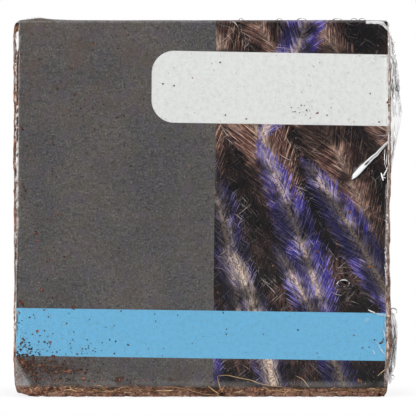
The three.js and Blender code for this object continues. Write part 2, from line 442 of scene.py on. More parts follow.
RIGHT_HOLLOWS = (  # height and how far in the right side lies there, in mm
    (25.5, 0.0), (28.2, 0.2), (30.3, 0.08), (32.4, 0.2), (34.6, 0.42), (36.0, 0.28), (38.5, 0.34),
    (41.0, 0.24), (43.1, 0.26), (45.2, 0.0), (46.3, 0.06), (47.3, 0.34), (48.4, 0.14), (50.2, 0.4),
    (52.7, 0.2), (55.9, 0.1), (58.0, 0.18), (61.0, 0.0),
)
PITS = (
    # x and height in mm, radius and depth, where lumps have fallen out below the label
    (0.6, 2.2, 2.4, 0.8), (2.6, 1.9, 1.2, 0.7), (5.3, 0.7, 0.7, 0.8), (-40.0, 2.8, 1.6, 0.6),
    (-27.0, 2.7, 2.4, 0.6), (26.0, 2.8, 1.4, 0.5), (-13.0, 1.2, 0.8, 0.4), (35.0, 1.4, 0.9, 0.4),
    (47.3, 0.4, 0.4, 0.8),
)
WHOLE_CORNER = (-48.9 * MM, 99.1 * MM)  # the upper left corner has kept its crumb
LABEL_BOTTOM = 2.95 * MM
FRONT_GAP = 0.02 * MM  # between the coir and the label on the front and the back
TOP_GAP = 0.05 * MM  # and on top

coir_front = label_front + PAPER + FRONT_GAP
block_low = np.array((-half_width - OVERFILL, coir_front, -FLATTENED))
block_high = np.array((half_width + OVERFILL, -coir_front, label_top - PAPER - TOP_GAP))


def bell(values, middle, width):
    return np.exp(-((values - middle) / width) ** 2)


def wear_at(side, z):
    """How far one side is worn back at a height"""
    deep = 0.0
    for worn_side, end, length, wear in WEAR:
        if worn_side == side:
            along = z if end == "base" else block_high[2] - z
            deep = deep + wear * np.clip(1 - along / length, 0, 1) ** 1.5
    hollow = np.interp(z / MM, *zip(*RIGHT_HOLLOWS)) * MM
    return deep + (hollow - SWOLLEN[2] * bell(z, *SWOLLEN[:2])) * (side > 0)


def worn(points):
    """Points of the block, or of the film round it, moved in where the corners are worn"""
    x, y, z = points.T
    outer = np.clip(np.abs(x) / block_high[0], 0, 1) ** 8
    return np.stack((x - np.sign(x) * outer * np.where(x > 0, wear_at(1, z), wear_at(-1, z)), y, z), 1)


def base_at(x):
    """The lowest height at a place along the block, which has crumbled at its lower left corner"""
    places = np.atleast_1d(x) / (1.9 * MM)
    uneven = np.array([noise.fractal(Vector((along, 0, 7)), 1.0, 2.0, 3) for along in places])
    crumbled = np.interp(x / MM, (-50.0, -48.2, -47.3, -46.4, -44.5), (1.15, 0.85, 0.65, 0.2, 0.0)) * MM
    return crumbled + BASE_UNEVEN * np.clip(uneven + 0.1, 0, 0.7)


def in_front(point):
    return point.y < block_low[1] + 0.5 * MM


def bare(point):
    """True where the label leaves the front uncovered, and a little beyond"""
    return abs(point.x) > block_high[0] - STRIP_SIDE or point.z < STRIP_TOP


def shows(point):
    return bare(point) or not in_front(point)


def shows_in_front(point):
    return bare(point) and in_front(point)


def crack_at(place):
    """0 between two clods, and more inside one"""
    nearest = noise.voronoi(Vector(place))[0]
    return nearest[1] - nearest[0]


def relief(points, low, high):
    """How deep the hollows, cracks and bites are at each point"""
    x, y, z = points.T
    flattened = points * (1, PRESSED, 1)
    crack = np.array([crack_at(place) for place in flattened / CLOD])
    depth = SWELL_DEPTH * (1 - 1.7 * lumps(points, SWELL, 3))
    depth += CRACK_DEPTH * np.clip(1 - crack / 0.25, 0, 1)
    depth += GRAIN_DEPTH * (1 - 1.4 * lumps(flattened, GRAIN, 3, seed=7.0))
    low_edge = np.clip(1 - (z - low[2]) / (1.5 * MM), 0, 1)
    for deep, length, octaves, seed, least, most in BASE_BITES:
        bitten = lumps(points * (1, 0.4, 1), length, octaves, seed)
        depth += deep * low_edge * np.clip(bitten - least, 0, most)
    near = np.clip(1 - np.sort(np.minimum(points - low, high - points), axis=1)[:, 1] / BITE_WIDTH, 0, 1)
    depth += EDGE_BITE * near * np.clip(lumps(points, BITE_LENGTH, 4, seed=3.0) - 0.1, 0, 1)
    front = y < low[1] + 0.4 * MM
    under_label = bell(z, LABEL_BOTTOM - 0.35 * MM, 0.3 * MM) * front
    depth += UNDER_LABEL_DEPTH * under_label * np.clip(3 * lumps(points, 4 * MM, 2, seed=21.0), 0, 1)
    for pit_x, pit_z, radius, deep in PITS:
        away = np.hypot((x / MM - pit_x) / 1.6, z / MM - pit_z)
        depth += deep * MM * front * np.clip(1.2 - (away / radius) ** 2, 0, 1)
    depth *= 1 - 0.85 * front * bell(x, WHOLE_CORNER[0], 1.6 * MM) * bell(z, WHOLE_CORNER[1], 1.6 * MM)
    return np.clip(depth, 0, None)


def make_coir():
    low, high = block_low, block_high
    bm = cell_box(low, high, COIR_CELL)
    refine(bm, shows)
    refine(bm, shows_in_front)
    mesh = mesh_from(bm, "coir_mass")
    points = worn(rounded(points_of(mesh), low, high, CORNERS, COIR_EDGE))
    set_points(mesh, points)
    depth = relief(points, low, high)
    points = points - normals_of(mesh) * depth[:, None]
    points[:, 2] = np.maximum(points[:, 2], base_at(points[:, 0]))
    set_points(mesh, points)
    # Painted shade: the deepest hollows are laid darker
    set_values(mesh, "hollow", np.clip((depth - 0.42 * MM) / (0.6 * MM), 0, 1))
    coir = piece("coir_mass", mesh, pith_finish("pressed_pith"))
    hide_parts("coir_block")
    return coir


coir = make_coir()
coir_tree = BVHTree.FromPolygons(
    [v.co for v in coir.data.vertices], [face.vertices for face in coir.data.polygons]
)

# %% [markdown]
# Fibres and grains are many small copies of one small shape. The shape comes from an operator, a tube with
# four sides or a ball with twenty faces, and array arithmetic places each copy. A ray cast onto the block
# finds the real surface below each point of a fibre, so that it lies on the relief and not above it.

# %% Helpers for many small copies
random = np.random.default_rng(4)


def template_grain():
    bm = bmesh.new()
    bmesh.ops.create_icosphere(bm, subdivisions=1, radius=1)
    return bm


def template_tube(stations):
    """A closed tube along Z from 0 to stations - 1, four sided, with a ring of points at each whole number"""
    bm = bmesh.new()
    length = stations - 1
    bmesh.ops.create_cone(
        bm, cap_ends=True, segments=4, radius1=1, radius2=1, depth=length,
        matrix=Matrix.Translation((0, 0, length / 2)),
    )
    along = [e for e in bm.edges if abs(e.verts[0].co.z - e.verts[1].co.z) > 0.5]
    bmesh.ops.subdivide_edges(bm, edges=along, cuts=length - 1)
    return bm


def copies_mesh(name, template, copies, tones):
    """One mesh of all the copies: an array of copies by points by 3, and a tone for each copy"""
    count, size = copies.shape[:2]
    corners = np.array([[v.index for v in face.verts] for face in template.faces])
    faces = corners[None] + (np.arange(count) * size)[:, None, None]
    mesh = bpy.data.meshes.new(name)
    mesh.from_pydata(copies.reshape(-1, 3).tolist(), [], faces.reshape(-1, corners.shape[1]).tolist())
    set_values(mesh, "tone", np.repeat(tones, size))
    mesh.shade_smooth()
    mesh.update()
    return mesh


def template_points(template):
    template.verts.index_update()
    return np.array([v.co for v in template.verts])


def grain_copies(template, places, outward, sizes, flatness):
    """Copies of a ball at places, each turned at random, squashed along outward and made uneven"""
    ball = template_points(template)
    shape = ball[None] * (1 + 0.35 * random.uniform(-1, 1, (len(places), len(ball), 1)))
    copies = np.empty_like(shape)
    for i, (place, out) in enumerate(zip(places, outward)):
        turn = np.array(Euler(random.uniform(0, math.tau, 3)).to_matrix())
        body = shape[i] @ turn.T * sizes[i]
        along = body @ out
        copies[i] = place + body - np.outer(along, out) * (1 - flatness)
    return copies


# %% [markdown]
# Each face of the block that shows gets its share of fibres: a list gives the face's normal, the box that the
# fibres start in, and the direction they favour. On the narrow sides they run lengthwise, because pressing
# laid them flat.

# %% Where the coir shows
X, Y, Z = np.eye(3)
inner_x, inner_z = coir_high[0] - 1.2 * MM, coir_high[2] - 1.2 * MM
inner_y = coir_high[1] - 1.0 * MM
FLAP_BOTTOM = 51.5 * MM  # the label covers the back above this
FACES = (
    # name, outward, lowest and highest start, favoured direction, spread, share
    ("back", Y, (-inner_x, 0, 1.5 * MM), (inner_x, 0, FLAP_BOTTOM), X, math.pi, 0.36),
    ("right", X, (0, -inner_y, 1.5 * MM), (0, inner_y, inner_z), Z, 0.5, 0.16),
    ("left", -X, (0, -inner_y, 3 * MM), (0, inner_y, inner_z), Z, 0.5, 0.16),
    ("base", -Z, (-inner_x, -inner_y, 0), (inner_x, inner_y, 0), X, 0.5, 0.09),
    ("front strip", -Y, (-inner_x, 0, 0.9 * MM), (inner_x, 0, 4.2 * MM), X, 0.35, 0.13),
    ("front left", -Y, (-inner_x - 0.8 * MM, 0, 3 * MM), (-inner_x + 1.2 * MM, 0, inner_z), Z, 0.5, 0.05),
    ("front right", -Y, (inner_x - 0.6 * MM, 0, 3 * MM), (inner_x + 0.8 * MM, 0, inner_z), Z, 0.5, 0.05),
)
block_middle = (coir_low + coir_high) / 2


def landed(start, outward):
    """The point of the coir's surface below start, seen along outward, or None"""
    reach = 40 * MM
    origin = start + outward * reach - outward * (start @ outward)
    hit = coir_tree.ray_cast(Vector(origin), Vector(-outward), reach * 2)
    return None if hit[0] is None else np.array(hit[0])


def base_of(outward):
    """The block's middle, left out along outward, so that a start lies on no particular depth"""
    return block_middle * np.abs(outward)


# %% Fibres in the coir
FIBRE_COUNT = 3000
STATIONS = 7
FIBRE_LENGTH = (2.5 * MM, 15 * MM)
FIBRE_RADIUS = (0.04 * MM, 0.11 * MM)
THIN_END = 0.35  # how thick a fibre is at its ends, as a share of its middle


def fibre_path(face):
    _, outward, low, high, favoured, spread, _ = face
    start = random.uniform(low, high) + base_of(outward)
    across = np.cross(outward, favoured)
    angle = random.uniform(-spread, spread)
    length = FIBRE_LENGTH[0] + (FIBRE_LENGTH[1] - FIBRE_LENGTH[0]) * random.uniform() ** 2.2
    bend = random.uniform(-1, 1) * 1.3 / length
    path, step = [start], length / (STATIONS - 1)
    for _ in range(STATIONS - 1):
        path.append(path[-1] + step * (math.cos(angle) * favoured + math.sin(angle) * across))
        angle += bend * step
    limit_low, limit_high = coir_low + 0.7 * MM, coir_high - 0.7 * MM
    path = [np.where(outward != 0, p, np.clip(p, limit_low, limit_high)) for p in path]
    laid = [landed(p, outward) for p in path]
    return None if any(p is None for p in laid) else np.array(laid)


def tube_copies(template, paths, outward, radii):
    """Tubes bent along paths and thin at both ends, each turned by its outward direction"""
    tube = template_points(template)
    station = np.rint(tube[:, 2]).astype(int)
    copies = np.empty((len(paths), len(tube), 3))
    for i, (path, out, radius) in enumerate(zip(paths, outward, radii)):
        ahead = np.gradient(path, axis=0)
        ahead /= np.maximum(np.linalg.norm(ahead, axis=1, keepdims=True), TINY)
        side = np.cross(out, ahead)
        side /= np.maximum(np.linalg.norm(side, axis=1, keepdims=True), TINY)
        taper = THIN_END + (1 - THIN_END) * np.sin(np.linspace(0.15, math.pi - 0.15, len(path)))
        thick = (radius * taper)[station][:, None]
        copies[i] = path[station] + thick * (tube[:, :1] * side[station] + tube[:, 1:2] * out)
    return copies


def make_fibres():
    paths, outward, radii = [], [], []
    shares = np.array([face[-1] for face in FACES])
    for face, count in zip(FACES, (FIBRE_COUNT * shares / shares.sum()).astype(int)):
        for _ in range(count):
            path = fibre_path(face)
            if path is None:
                continue
            smooth = path.copy()
            smooth[1:-1] = (path[:-2] + path[1:-1] + path[2:]) / 3
            radius = random.uniform(*FIBRE_RADIUS)
            paths.append(smooth + face[1] * radius * 0.3)
            outward.append(face[1])
            radii.append(radius)
    template = template_tube(STATIONS)
    copies = tube_copies(template, paths, outward, radii)
    mesh = copies_mesh("coir_fibres", template, copies, random.uniform(0, 1, len(paths)))
    piece("coir_fibres", mesh, fibre_finish())


def fibre_finish():
    """Fibres are golden to dark brown, each of one tone, a little glossy"""
    material, tree, shader = finish_of("coconut_fibre")
    tone = drawn(tree, "tone")
    place = add(tree, "ShaderNodeTexCoord").outputs["Object"]
    streak = cloud(tree, place, 1500.0, 2.0)
    colour = lay(tree, screen(84, 52, 36), screen(150, 108, 72), fade(tree, tone, 0.0, 0.7))
    colour = lay(tree, colour, screen(212, 176, 128), fade(tree, tone, 0.72, 0.9))
    colour = lay(tree, colour, screen(246, 214, 170), fade(tree, tone, 0.9, 0.97))
    dull = times(tree, streak, between(tree, fade(tree, tone, 0.85, 0.95), 0.45, 0.15))
    plug(tree, lay(tree, colour, screen(60, 38, 28), dull), shader.inputs["Base Color"])
    shader.inputs["Roughness"].default_value = 0.6
    return material


make_fibres()

# %% Grains of pith on the coir
GRAIN_COUNT = 5200
GRAIN_SIZE = (0.1 * MM, 0.42 * MM)


def make_grains():
    places, outward = [], []
    shares = np.array([face[-1] for face in FACES])
    for face, count in zip(FACES, (GRAIN_COUNT * shares / shares.sum()).astype(int)):
        for _ in range(count):
            place = landed(random.uniform(face[2], face[3]) + base_of(face[1]), face[1])
            if place is not None:
                places.append(place)
                outward.append(face[1])
    sizes = GRAIN_SIZE[0] + (GRAIN_SIZE[1] - GRAIN_SIZE[0]) * random.uniform(0, 1, len(places)) ** 2
    template = template_grain()
    copies = grain_copies(template, np.array(places), np.array(outward), sizes, 0.5)
    mesh = copies_mesh("coir_grains", template, copies, random.uniform(0.1, 0.8, len(places)))
    piece("coir_grains", mesh, pith_finish("loose_pith", loose=True))


make_grains()

# %% [markdown]
# The label is one sheet of paper, 98 mm wide and about 169 mm long, bent twice. The mesh starts as a flat
# grid of the sheet's own size. Each point is then carried along the fold: up the front, over the top and down
# the back. The flat place of each point stays in a UV map, so the print can be drawn on the flat sheet.

# %% The label's sheet
LABEL_WIDTH = 98.3 * MM
LEFT_EDGE = (  # height and x in mm of the sheet's left edge on the front, which was cut or laid unevenly
    (12.0, -49.67), (30.0, -49.51), (43.0, -49.26), (56.0, -49.18), (67.0, -48.98), (81.0, -48.84),
    (92.0, -48.71),
)
RIGHT_EDGE = (
    (3.0, 48.6), (12.0, 48.9), (20.0, 48.95), (35.0, 48.87), (48.5, 49.0), (62.0, 49.35), (95.0, 49.42),
)
WRAP_START = 49.3 * MM  # beyond this the sheet turns back a little, round the edge of the block
BACK_FLAP = 48 * MM
FOLD_ROUND = 0.7 * MM
LABEL_LEAN = math.tan(math.radians(0.43))
PRINT_SLOPE = 0.0069  # the printed bands fall to the right by this much at the bottom
SLOPE_GROWTH = 0.128  # and by this much more for each metre up
TOP_BULGE, TOP_BULGE_X = 0.62 * MM, -43.6 * MM  # the fold stands up a little near the left corner
UV_UNIT = 100 * MM  # one unit of the UV map
PAPER_CELL = 1.0 * MM

front_length = label_top - FOLD_ROUND - LABEL_BOTTOM
fold_length = FOLD_ROUND * math.pi / 2
top_length = 2 * (-label_front - FOLD_ROUND)
back_length = BACK_FLAP - FOLD_ROUND
sheet_length = front_length + top_length + back_length + 2 * fold_length
print("flat label", round(LABEL_WIDTH / MM, 1), "x", round(sheet_length / MM, 1), "mm")


def folded(run):
    """y, z and the normal of a point that lies run along the sheet from its lower front edge"""
    straight = (
        (front_length, (label_front, LABEL_BOTTOM), (0, 1), (-1, 0)),
        (top_length, (label_front + FOLD_ROUND, label_top), (1, 0), (0, 1)),
        (back_length, (-label_front, label_top - FOLD_ROUND), (0, -1), (1, 0)),
    )
    for i, (length, start, ahead, out) in enumerate(straight):
        if run <= length or i == 2:
            return start[0] + ahead[0] * run, start[1] + ahead[1] * run, out
        run -= length
        if run < fold_length:
            angle = run / FOLD_ROUND
            following = straight[i + 1][3]
            out = [math.cos(angle) * out[k] + math.sin(angle) * following[k] for k in range(2)]
            centre_y = (label_front + FOLD_ROUND) if i == 0 else (-label_front - FOLD_ROUND)
            centre_z = label_top - FOLD_ROUND
            return centre_y + FOLD_ROUND * out[0], centre_z + FOLD_ROUND * out[1], out
        run -= fold_length


def make_label():
    bm = bmesh.new()
    columns, rows = round(LABEL_WIDTH / PAPER_CELL), round(sheet_length / PAPER_CELL)
    bmesh.ops.create_grid(bm, x_segments=columns, y_segments=rows, size=0.5)
    bmesh.ops.scale(bm, vec=(LABEL_WIDTH, sheet_length, 1), verts=bm.verts)
    bmesh.ops.translate(bm, vec=(0, sheet_length / 2, 0), verts=bm.verts)
    for edge_line in (front_length, front_length + fold_length + top_length):
        at_fold = [
            e for e in bm.edges
            if all(edge_line - PAPER_CELL <= v.co.y <= edge_line + fold_length + PAPER_CELL for v in e.verts)
            and abs(e.verts[0].co.y - e.verts[1].co.y) > PAPER_CELL / 10
        ]
        bmesh.ops.subdivide_edges(bm, edges=at_fold, cuts=3)
    print_map = bm.loops.layers.uv.new("print")
    for face in bm.faces:
        for corner in face.loops:
            x, run = corner.vert.co.x, corner.vert.co.y
            on_face = min(1.0, max(0.0, 1 - (run - front_length) / (10 * MM)))
            slope = (PRINT_SLOPE + SLOPE_GROWTH * run) * on_face
            height = LABEL_BOTTOM + run + slope * x
            corner[print_map].uv = ((x + LABEL_WIDTH / 2) / UV_UNIT, height / UV_UNIT)
    middle = (label_top + LABEL_BOTTOM) / 2
    for vert in bm.verts:
        x, run = vert.co.x, vert.co.y
        y, z, out = folded(run)
        on_front = y < 0 and run < front_length + fold_length
        wave = 0.05 * MM * noise.fractal(Vector((x, run, 0)) / (14 * MM), 1.0, 2.0, 3)
        corner_x = max(0.0, abs(x) - LABEL_WIDTH / 2 + 3.0 * MM)
        corner_z = max(0.0, z - label_top + 3.0 * MM)
        tuck = min(0.6 * MM, 0.07 * corner_x * corner_z / MM) * (0.8 if x > 0 else 0.08)
        near_top = max(0.0, 1 - (label_top - z) / (2 * MM))
        bulge = TOP_BULGE * math.exp(-((x - TOP_BULGE_X) / (2.6 * MM)) ** 2) * near_top
        height = z if on_front else label_top
        below = max(0.0, (middle - z) / (middle - LABEL_BOTTOM)) if on_front else 0.0
        left, right = (np.interp(height / MM, *zip(*edge)) * MM for edge in (LEFT_EDGE, RIGHT_EDGE))
        placed = left + (x / LABEL_WIDTH + 0.5) * (right - left)
        turned_back = max(0.0, abs(placed) - WRAP_START) ** 2 / MM if on_front else 0.0
        vert.co = (
            placed,
            y + out[0] * (wave - tuck) + turned_back,
            z + out[1] * (wave - tuck) - LABEL_LEAN * x * below + bulge,
        )
    mesh = mesh_from(bm, "label_sheet")
    label = piece("label_sheet", mesh, paper_finish())
    wall = label.modifiers.new("paper", "SOLIDIFY")
    wall.thickness = PAPER
    wall.offset = -1
    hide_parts("paper_label")
    return label


# %% [markdown]
# The print is drawn with masks on the flat sheet, in millimetres from its left edge and above the block's
# base. A rounded rectangle covers the white tab, the blue band, and the panel and stripe on the back. It is a
# distance to a box with round corners, faded over about a tenth of a millimetre, which keeps the edge sharp.

# %% Shared rounded rectangle
plate, take, give = group(
    "plate",
    (("Place", VECTOR, None), ("Centre", VECTOR, None), ("Half size", VECTOR, None), ("Radius", FLOAT, 0.0)),
    (("Mask", FLOAT),),
)
away = add(plate, "ShaderNodeVectorMath", operation="SUBTRACT")
plug(plate, take["Place"], away.inputs[0])
plug(plate, take["Centre"], away.inputs[1])
away = add(plate, "ShaderNodeVectorMath", {0: away.outputs[0]}, operation="ABSOLUTE")
reach_x, reach_y, _ = split(plate, away.outputs[0])
half_x, half_y, _ = split(plate, take["Half size"])
past_x = plus(plate, minus(plate, reach_x, half_x), take["Radius"])
past_y = plus(plate, minus(plate, reach_y, half_y), take["Radius"])
over_x, over_y = calc(plate, "MAXIMUM", past_x, 0.0), calc(plate, "MAXIMUM", past_y, 0.0)
squares = plus(plate, times(plate, over_x, over_x), times(plate, over_y, over_y))
inner = calc(plate, "MINIMUM", calc(plate, "MAXIMUM", past_x, past_y), 0.0)
distance = plus(plate, calc(plate, "SQRT", squares), minus(plate, inner, take["Radius"]))
plug(plate, fade(plate, distance, 0.06, -0.06), give["Mask"])

# %% [markdown]
# The picture on the label is an ornament made for this part: feathery plumes in violet and beige on a dark
# ground. A plume is a bent line with barbs that leave it at a slant. The group measures how far along the
# line and how far to its side a point lies, and draws the barbs as noise stretched along their slant.

# %% Shared plume
plume, take, give = group(
    "plume",
    (
        ("Place", VECTOR, None), ("Root x", FLOAT, 0.0), ("Root y", FLOAT, 0.0), ("Angle", FLOAT, 0.0),
        ("Bend", FLOAT, 0.0), ("Length", FLOAT, 40.0), ("Half width", FLOAT, 6.0), ("Slant", FLOAT, 1.2),
    ),
    (("Mask", FLOAT), ("Barb", FLOAT), ("Rib", FLOAT), ("Down", FLOAT)),
)
place_x, place_y, _ = split(plume, take["Place"])
from_x = minus(plume, place_x, take["Root x"])
from_y = minus(plume, place_y, take["Root y"])
cosine, sine = calc(plume, "COSINE", take["Angle"]), calc(plume, "SINE", take["Angle"])
along = plus(plume, times(plume, from_x, cosine), times(plume, from_y, sine))
side = minus(plume, times(plume, from_y, cosine), times(plume, from_x, sine))
side = minus(plume, side, times(plume, take["Bend"], times(plume, along, along)))
off = calc(plume, "ABSOLUTE", side)
share = calc(plume, "DIVIDE", along, take["Length"])
left = minus(plume, 1.0, share)
arch = calc(plume, "MAXIMUM", times(plume, times(plume, share, left), 4.0), 0.0)
width = times(plume, take["Half width"], calc(plume, "POWER", arch, 0.6))
line = minus(plume, along, times(plume, off, take["Slant"]))
turned = times(plume, calc(plume, "SIGN", side), 9.0)
barb_place = join(plume, line, times(plume, off, 0.16), turned)
barb = cloud(plume, barb_place, 2.3, 4.0, 0.7, 0.35)
ragged = times(plume, width, between(plume, fade(plume, barb, 0.3, 0.7), 0.45, 1.1))
plug(plume, fade(plume, minus(plume, ragged, off), 0.0, 1.1), give["Mask"])
plug(plume, barb, give["Barb"])
rib_half = plus(plume, times(plume, calc(plume, "MAXIMUM", left, 0.0), 0.75), 0.12)
inside = times(plume, fade(plume, share, 0.0, 0.06), fade(plume, share, 1.0, 0.9))
rib = fade(plume, minus(plume, off, rib_half), 0.25, -0.25)
plug(plume, times(plume, rib, inside), give["Rib"])
plug(plume, times(plume, fade(plume, off, 3.2, 0.4), inside), give["Down"])

# %% Shared specks of dust
specks, take, give = group(
    "specks",
    (("Place", VECTOR, None), ("Scale", FLOAT, 1.0), ("Amount", FLOAT, 0.2), ("Size", FLOAT, 0.3)),
    (("Mask", FLOAT), ("Tone", FLOAT)),
)
wobble = add(specks, "ShaderNodeTexNoise", {"Vector": take["Place"], "Scale": 2.2, "Detail": 2.0})
moved = shifted(specks, take["Place"], scaled(specks, wobble.outputs["Color"], (0.35, 0.35, 0.35)))
cells = add(specks, "ShaderNodeTexVoronoi", {"Vector": moved, "Scale": take["Scale"], "Randomness": 1.0})
chance, tone, spread = split(specks, cells.outputs["Color"])
kept = calc(specks, "LESS_THAN", chance, take["Amount"])
radius = times(specks, take["Size"], between(specks, spread, 0.35, 1.0))
dot = fade(specks, minus(specks, cells.outputs["Distance"], radius), 0.08, -0.04)
plug(specks, times(specks, dot, kept), give["Mask"])
plug(specks, tone, give["Tone"])

# %% Colours and places of the print
GREY_COOL = screen(84, 84, 87)
GREY_WARM = screen(102, 97, 94)
GRIME = screen(84, 75, 69)
TAB_WHITE = screen(232, 234, 232)
BAND_BLUE = screen(116, 188, 227)
PICTURE_DARK = screen(13, 13, 16)
BLADE_BROWN = screen(120, 86, 78)
PAPER_WHITE = screen(214, 212, 208)
PRINT_EDGE = 0.05  # half the width over which a straight edge of the picture fades
PICTURE_LEFT = 52.5
BACK_START = 126.5  # the picture ends where the sheet turns down the back
PLATES = (
    # centre, half size, radius of the corners, colour: the tab, the band, the back's panel and its stripe
    ((80.0, 82.5, 0), (44.6, 9.54, 0), 6.0, TAB_WHITE),
    ((50.0, 16.71, 0), (60.0, 6.36, 0), 0.0, BAND_BLUE),
    ((49.15, 150.0, 0), (41.0, 13.5, 0), 2.0, TAB_WHITE),
    ((50.0, 131.5, 0), (60.0, 1.6, 0), 0.0, BAND_BLUE),
)
VIOLET = (screen(16, 12, 44), screen(66, 58, 168), screen(180, 170, 234))
SLATE = (screen(10, 10, 24), screen(46, 42, 92), screen(146, 138, 186))
BRACKEN = (screen(28, 18, 18), screen(118, 80, 72), screen(232, 190, 164))
BEIGE = screen(255, 232, 208)
PLUMES = (
    # root x and y, angle in degrees, bend, length, half width, slant, colours, share of beige by the rib
    (52.0, 44.0, 97, 0.0022, 74.0, 8.0, 1.6, BRACKEN, 0.15),
    (74.0, 40.0, 104, 0.0022, 78.0, 8.5, 1.5, BRACKEN, 0.35),
    (97.0, 38.0, 110, 0.0022, 80.0, 8.0, 1.5, BRACKEN, 0.1),
    (111.0, 50.0, 116, 0.002, 62.0, 7.0, 1.5, BRACKEN, 0.2),
    (60.0, 16.0, 95, 0.0026, 54.0, 6.4, 1.35, SLATE, 0.35),
    (84.0, 12.0, 101, 0.0026, 60.0, 6.8, 1.35, VIOLET, 0.5),
    (105.0, 14.0, 112, 0.0026, 58.0, 6.4, 1.35, VIOLET, 0.65),
    (52.0, -10.0, 90, 0.003, 52.0, 5.2, 1.25, VIOLET, 0.5),
    (71.0, -14.0, 95, 0.003, 56.0, 5.6, 1.25, SLATE, 0.8),
    (93.0, -16.0, 103, 0.003, 62.0, 5.6, 1.25, VIOLET, 0.7),
    (64.0, 68.0, 63, 0.003, 54.0, 6.6, 1.35, VIOLET, 0.5),
)
HAIRS = (
    # direction in radians, length and width of a stroke in mm, colour, least noise that draws it, strength
    (1.9, 9.0, 0.2, screen(132, 116, 126), 0.6, 0.6),
    (1.2, 7.0, 0.22, screen(112, 84, 76), 0.58, 0.7),
    (2.5, 8.0, 0.16, screen(248, 238, 232), 0.63, 0.97),
    (0.7, 7.0, 0.15, screen(248, 238, 232), 0.64, 0.97),
)


def strokes(tree, place, turn, length, width, detail=3.0):
    """Noise drawn out into strokes along a direction that wanders a little"""
    wander = cloud(tree, place, 0.05, 1.0)
    bent = shifted(tree, place, scaled(tree, join(tree, wander, wander, 0.0), (14, 14, 0)))
    turned = add(tree, "ShaderNodeMapping", {
        "Vector": bent, "Rotation": (0, 0, turn), "Scale": (length, width, 1),
    }, vector_type="TEXTURE")
    return cloud(tree, turned.outputs[0], 1.0, detail, 0.6, 0.2)


def picture(tree, place):
    """The ornament: fine blades on a dark ground, the plumes laid one over another, and pale hairs"""
    blades = strokes(tree, place, 1.75, 3.2, 0.24, 4.0)
    patch = cloud(tree, place, 0.07, 4.0, 0.6)
    grassy = times(tree, fade(tree, blades, 0.42, 0.64), fade(tree, patch, 0.42, 0.58))
    colour = lay(tree, PICTURE_DARK, BLADE_BROWN, grassy)
    for x, y, angle, bend, length, half, slant, (dark, middle, bright), beige in PLUMES:
        out = use(
            tree, plume, place=place, root_x=x, root_y=y, angle=math.radians(angle), bend=bend,
            length=length, half_width=half, slant=slant,
        )
        barbs = lay(tree, dark, middle, fade(tree, out["Barb"], 0.4, 0.56))
        barbs = lay(tree, barbs, bright, fade(tree, out["Barb"], 0.54, 0.66))
        downy = times(tree, times(tree, out["Down"], beige), fade(tree, blades, 0.4, 0.6))
        barbs = lay(tree, barbs, BEIGE, downy)
        colour = lay(tree, colour, PICTURE_DARK, times(tree, out["Mask"], 0.92))
        colour = lay(tree, colour, barbs, times(tree, out["Mask"], fade(tree, out["Barb"], 0.36, 0.48)))
        rib = lay(tree, BRACKEN[1], BEIGE, fade(tree, cloud(tree, place, 1.6, 3.0, 0.7), 0.38, 0.58))
        colour = lay(tree, colour, rib, times(tree, out["Rib"], min(1.0, 1.3 * beige)))
    for turn, length, width, shade, least, strength in HAIRS:
        hair = strokes(tree, place, turn, length, width)
        colour = lay(tree, colour, shade, times(tree, fade(tree, hair, least, least + 0.07), strength))
    across, height, _ = split(tree, place)
    shadow = times(tree, fade(tree, height, 14.0, 9.0), fade(tree, across, 72.0, 84.0))
    corner = times(tree, fade(tree, height, 86.0, 93.0), fade(tree, across, 80.0, 90.0))
    shadow = calc(tree, "MAXIMUM", shadow, corner)
    deep = calc(tree, "MAXIMUM", fade(tree, cloud(tree, place, 0.08, 3.0), 0.58, 0.44), shadow)
    return lay(tree, colour, PICTURE_DARK, times(tree, deep, 0.8))


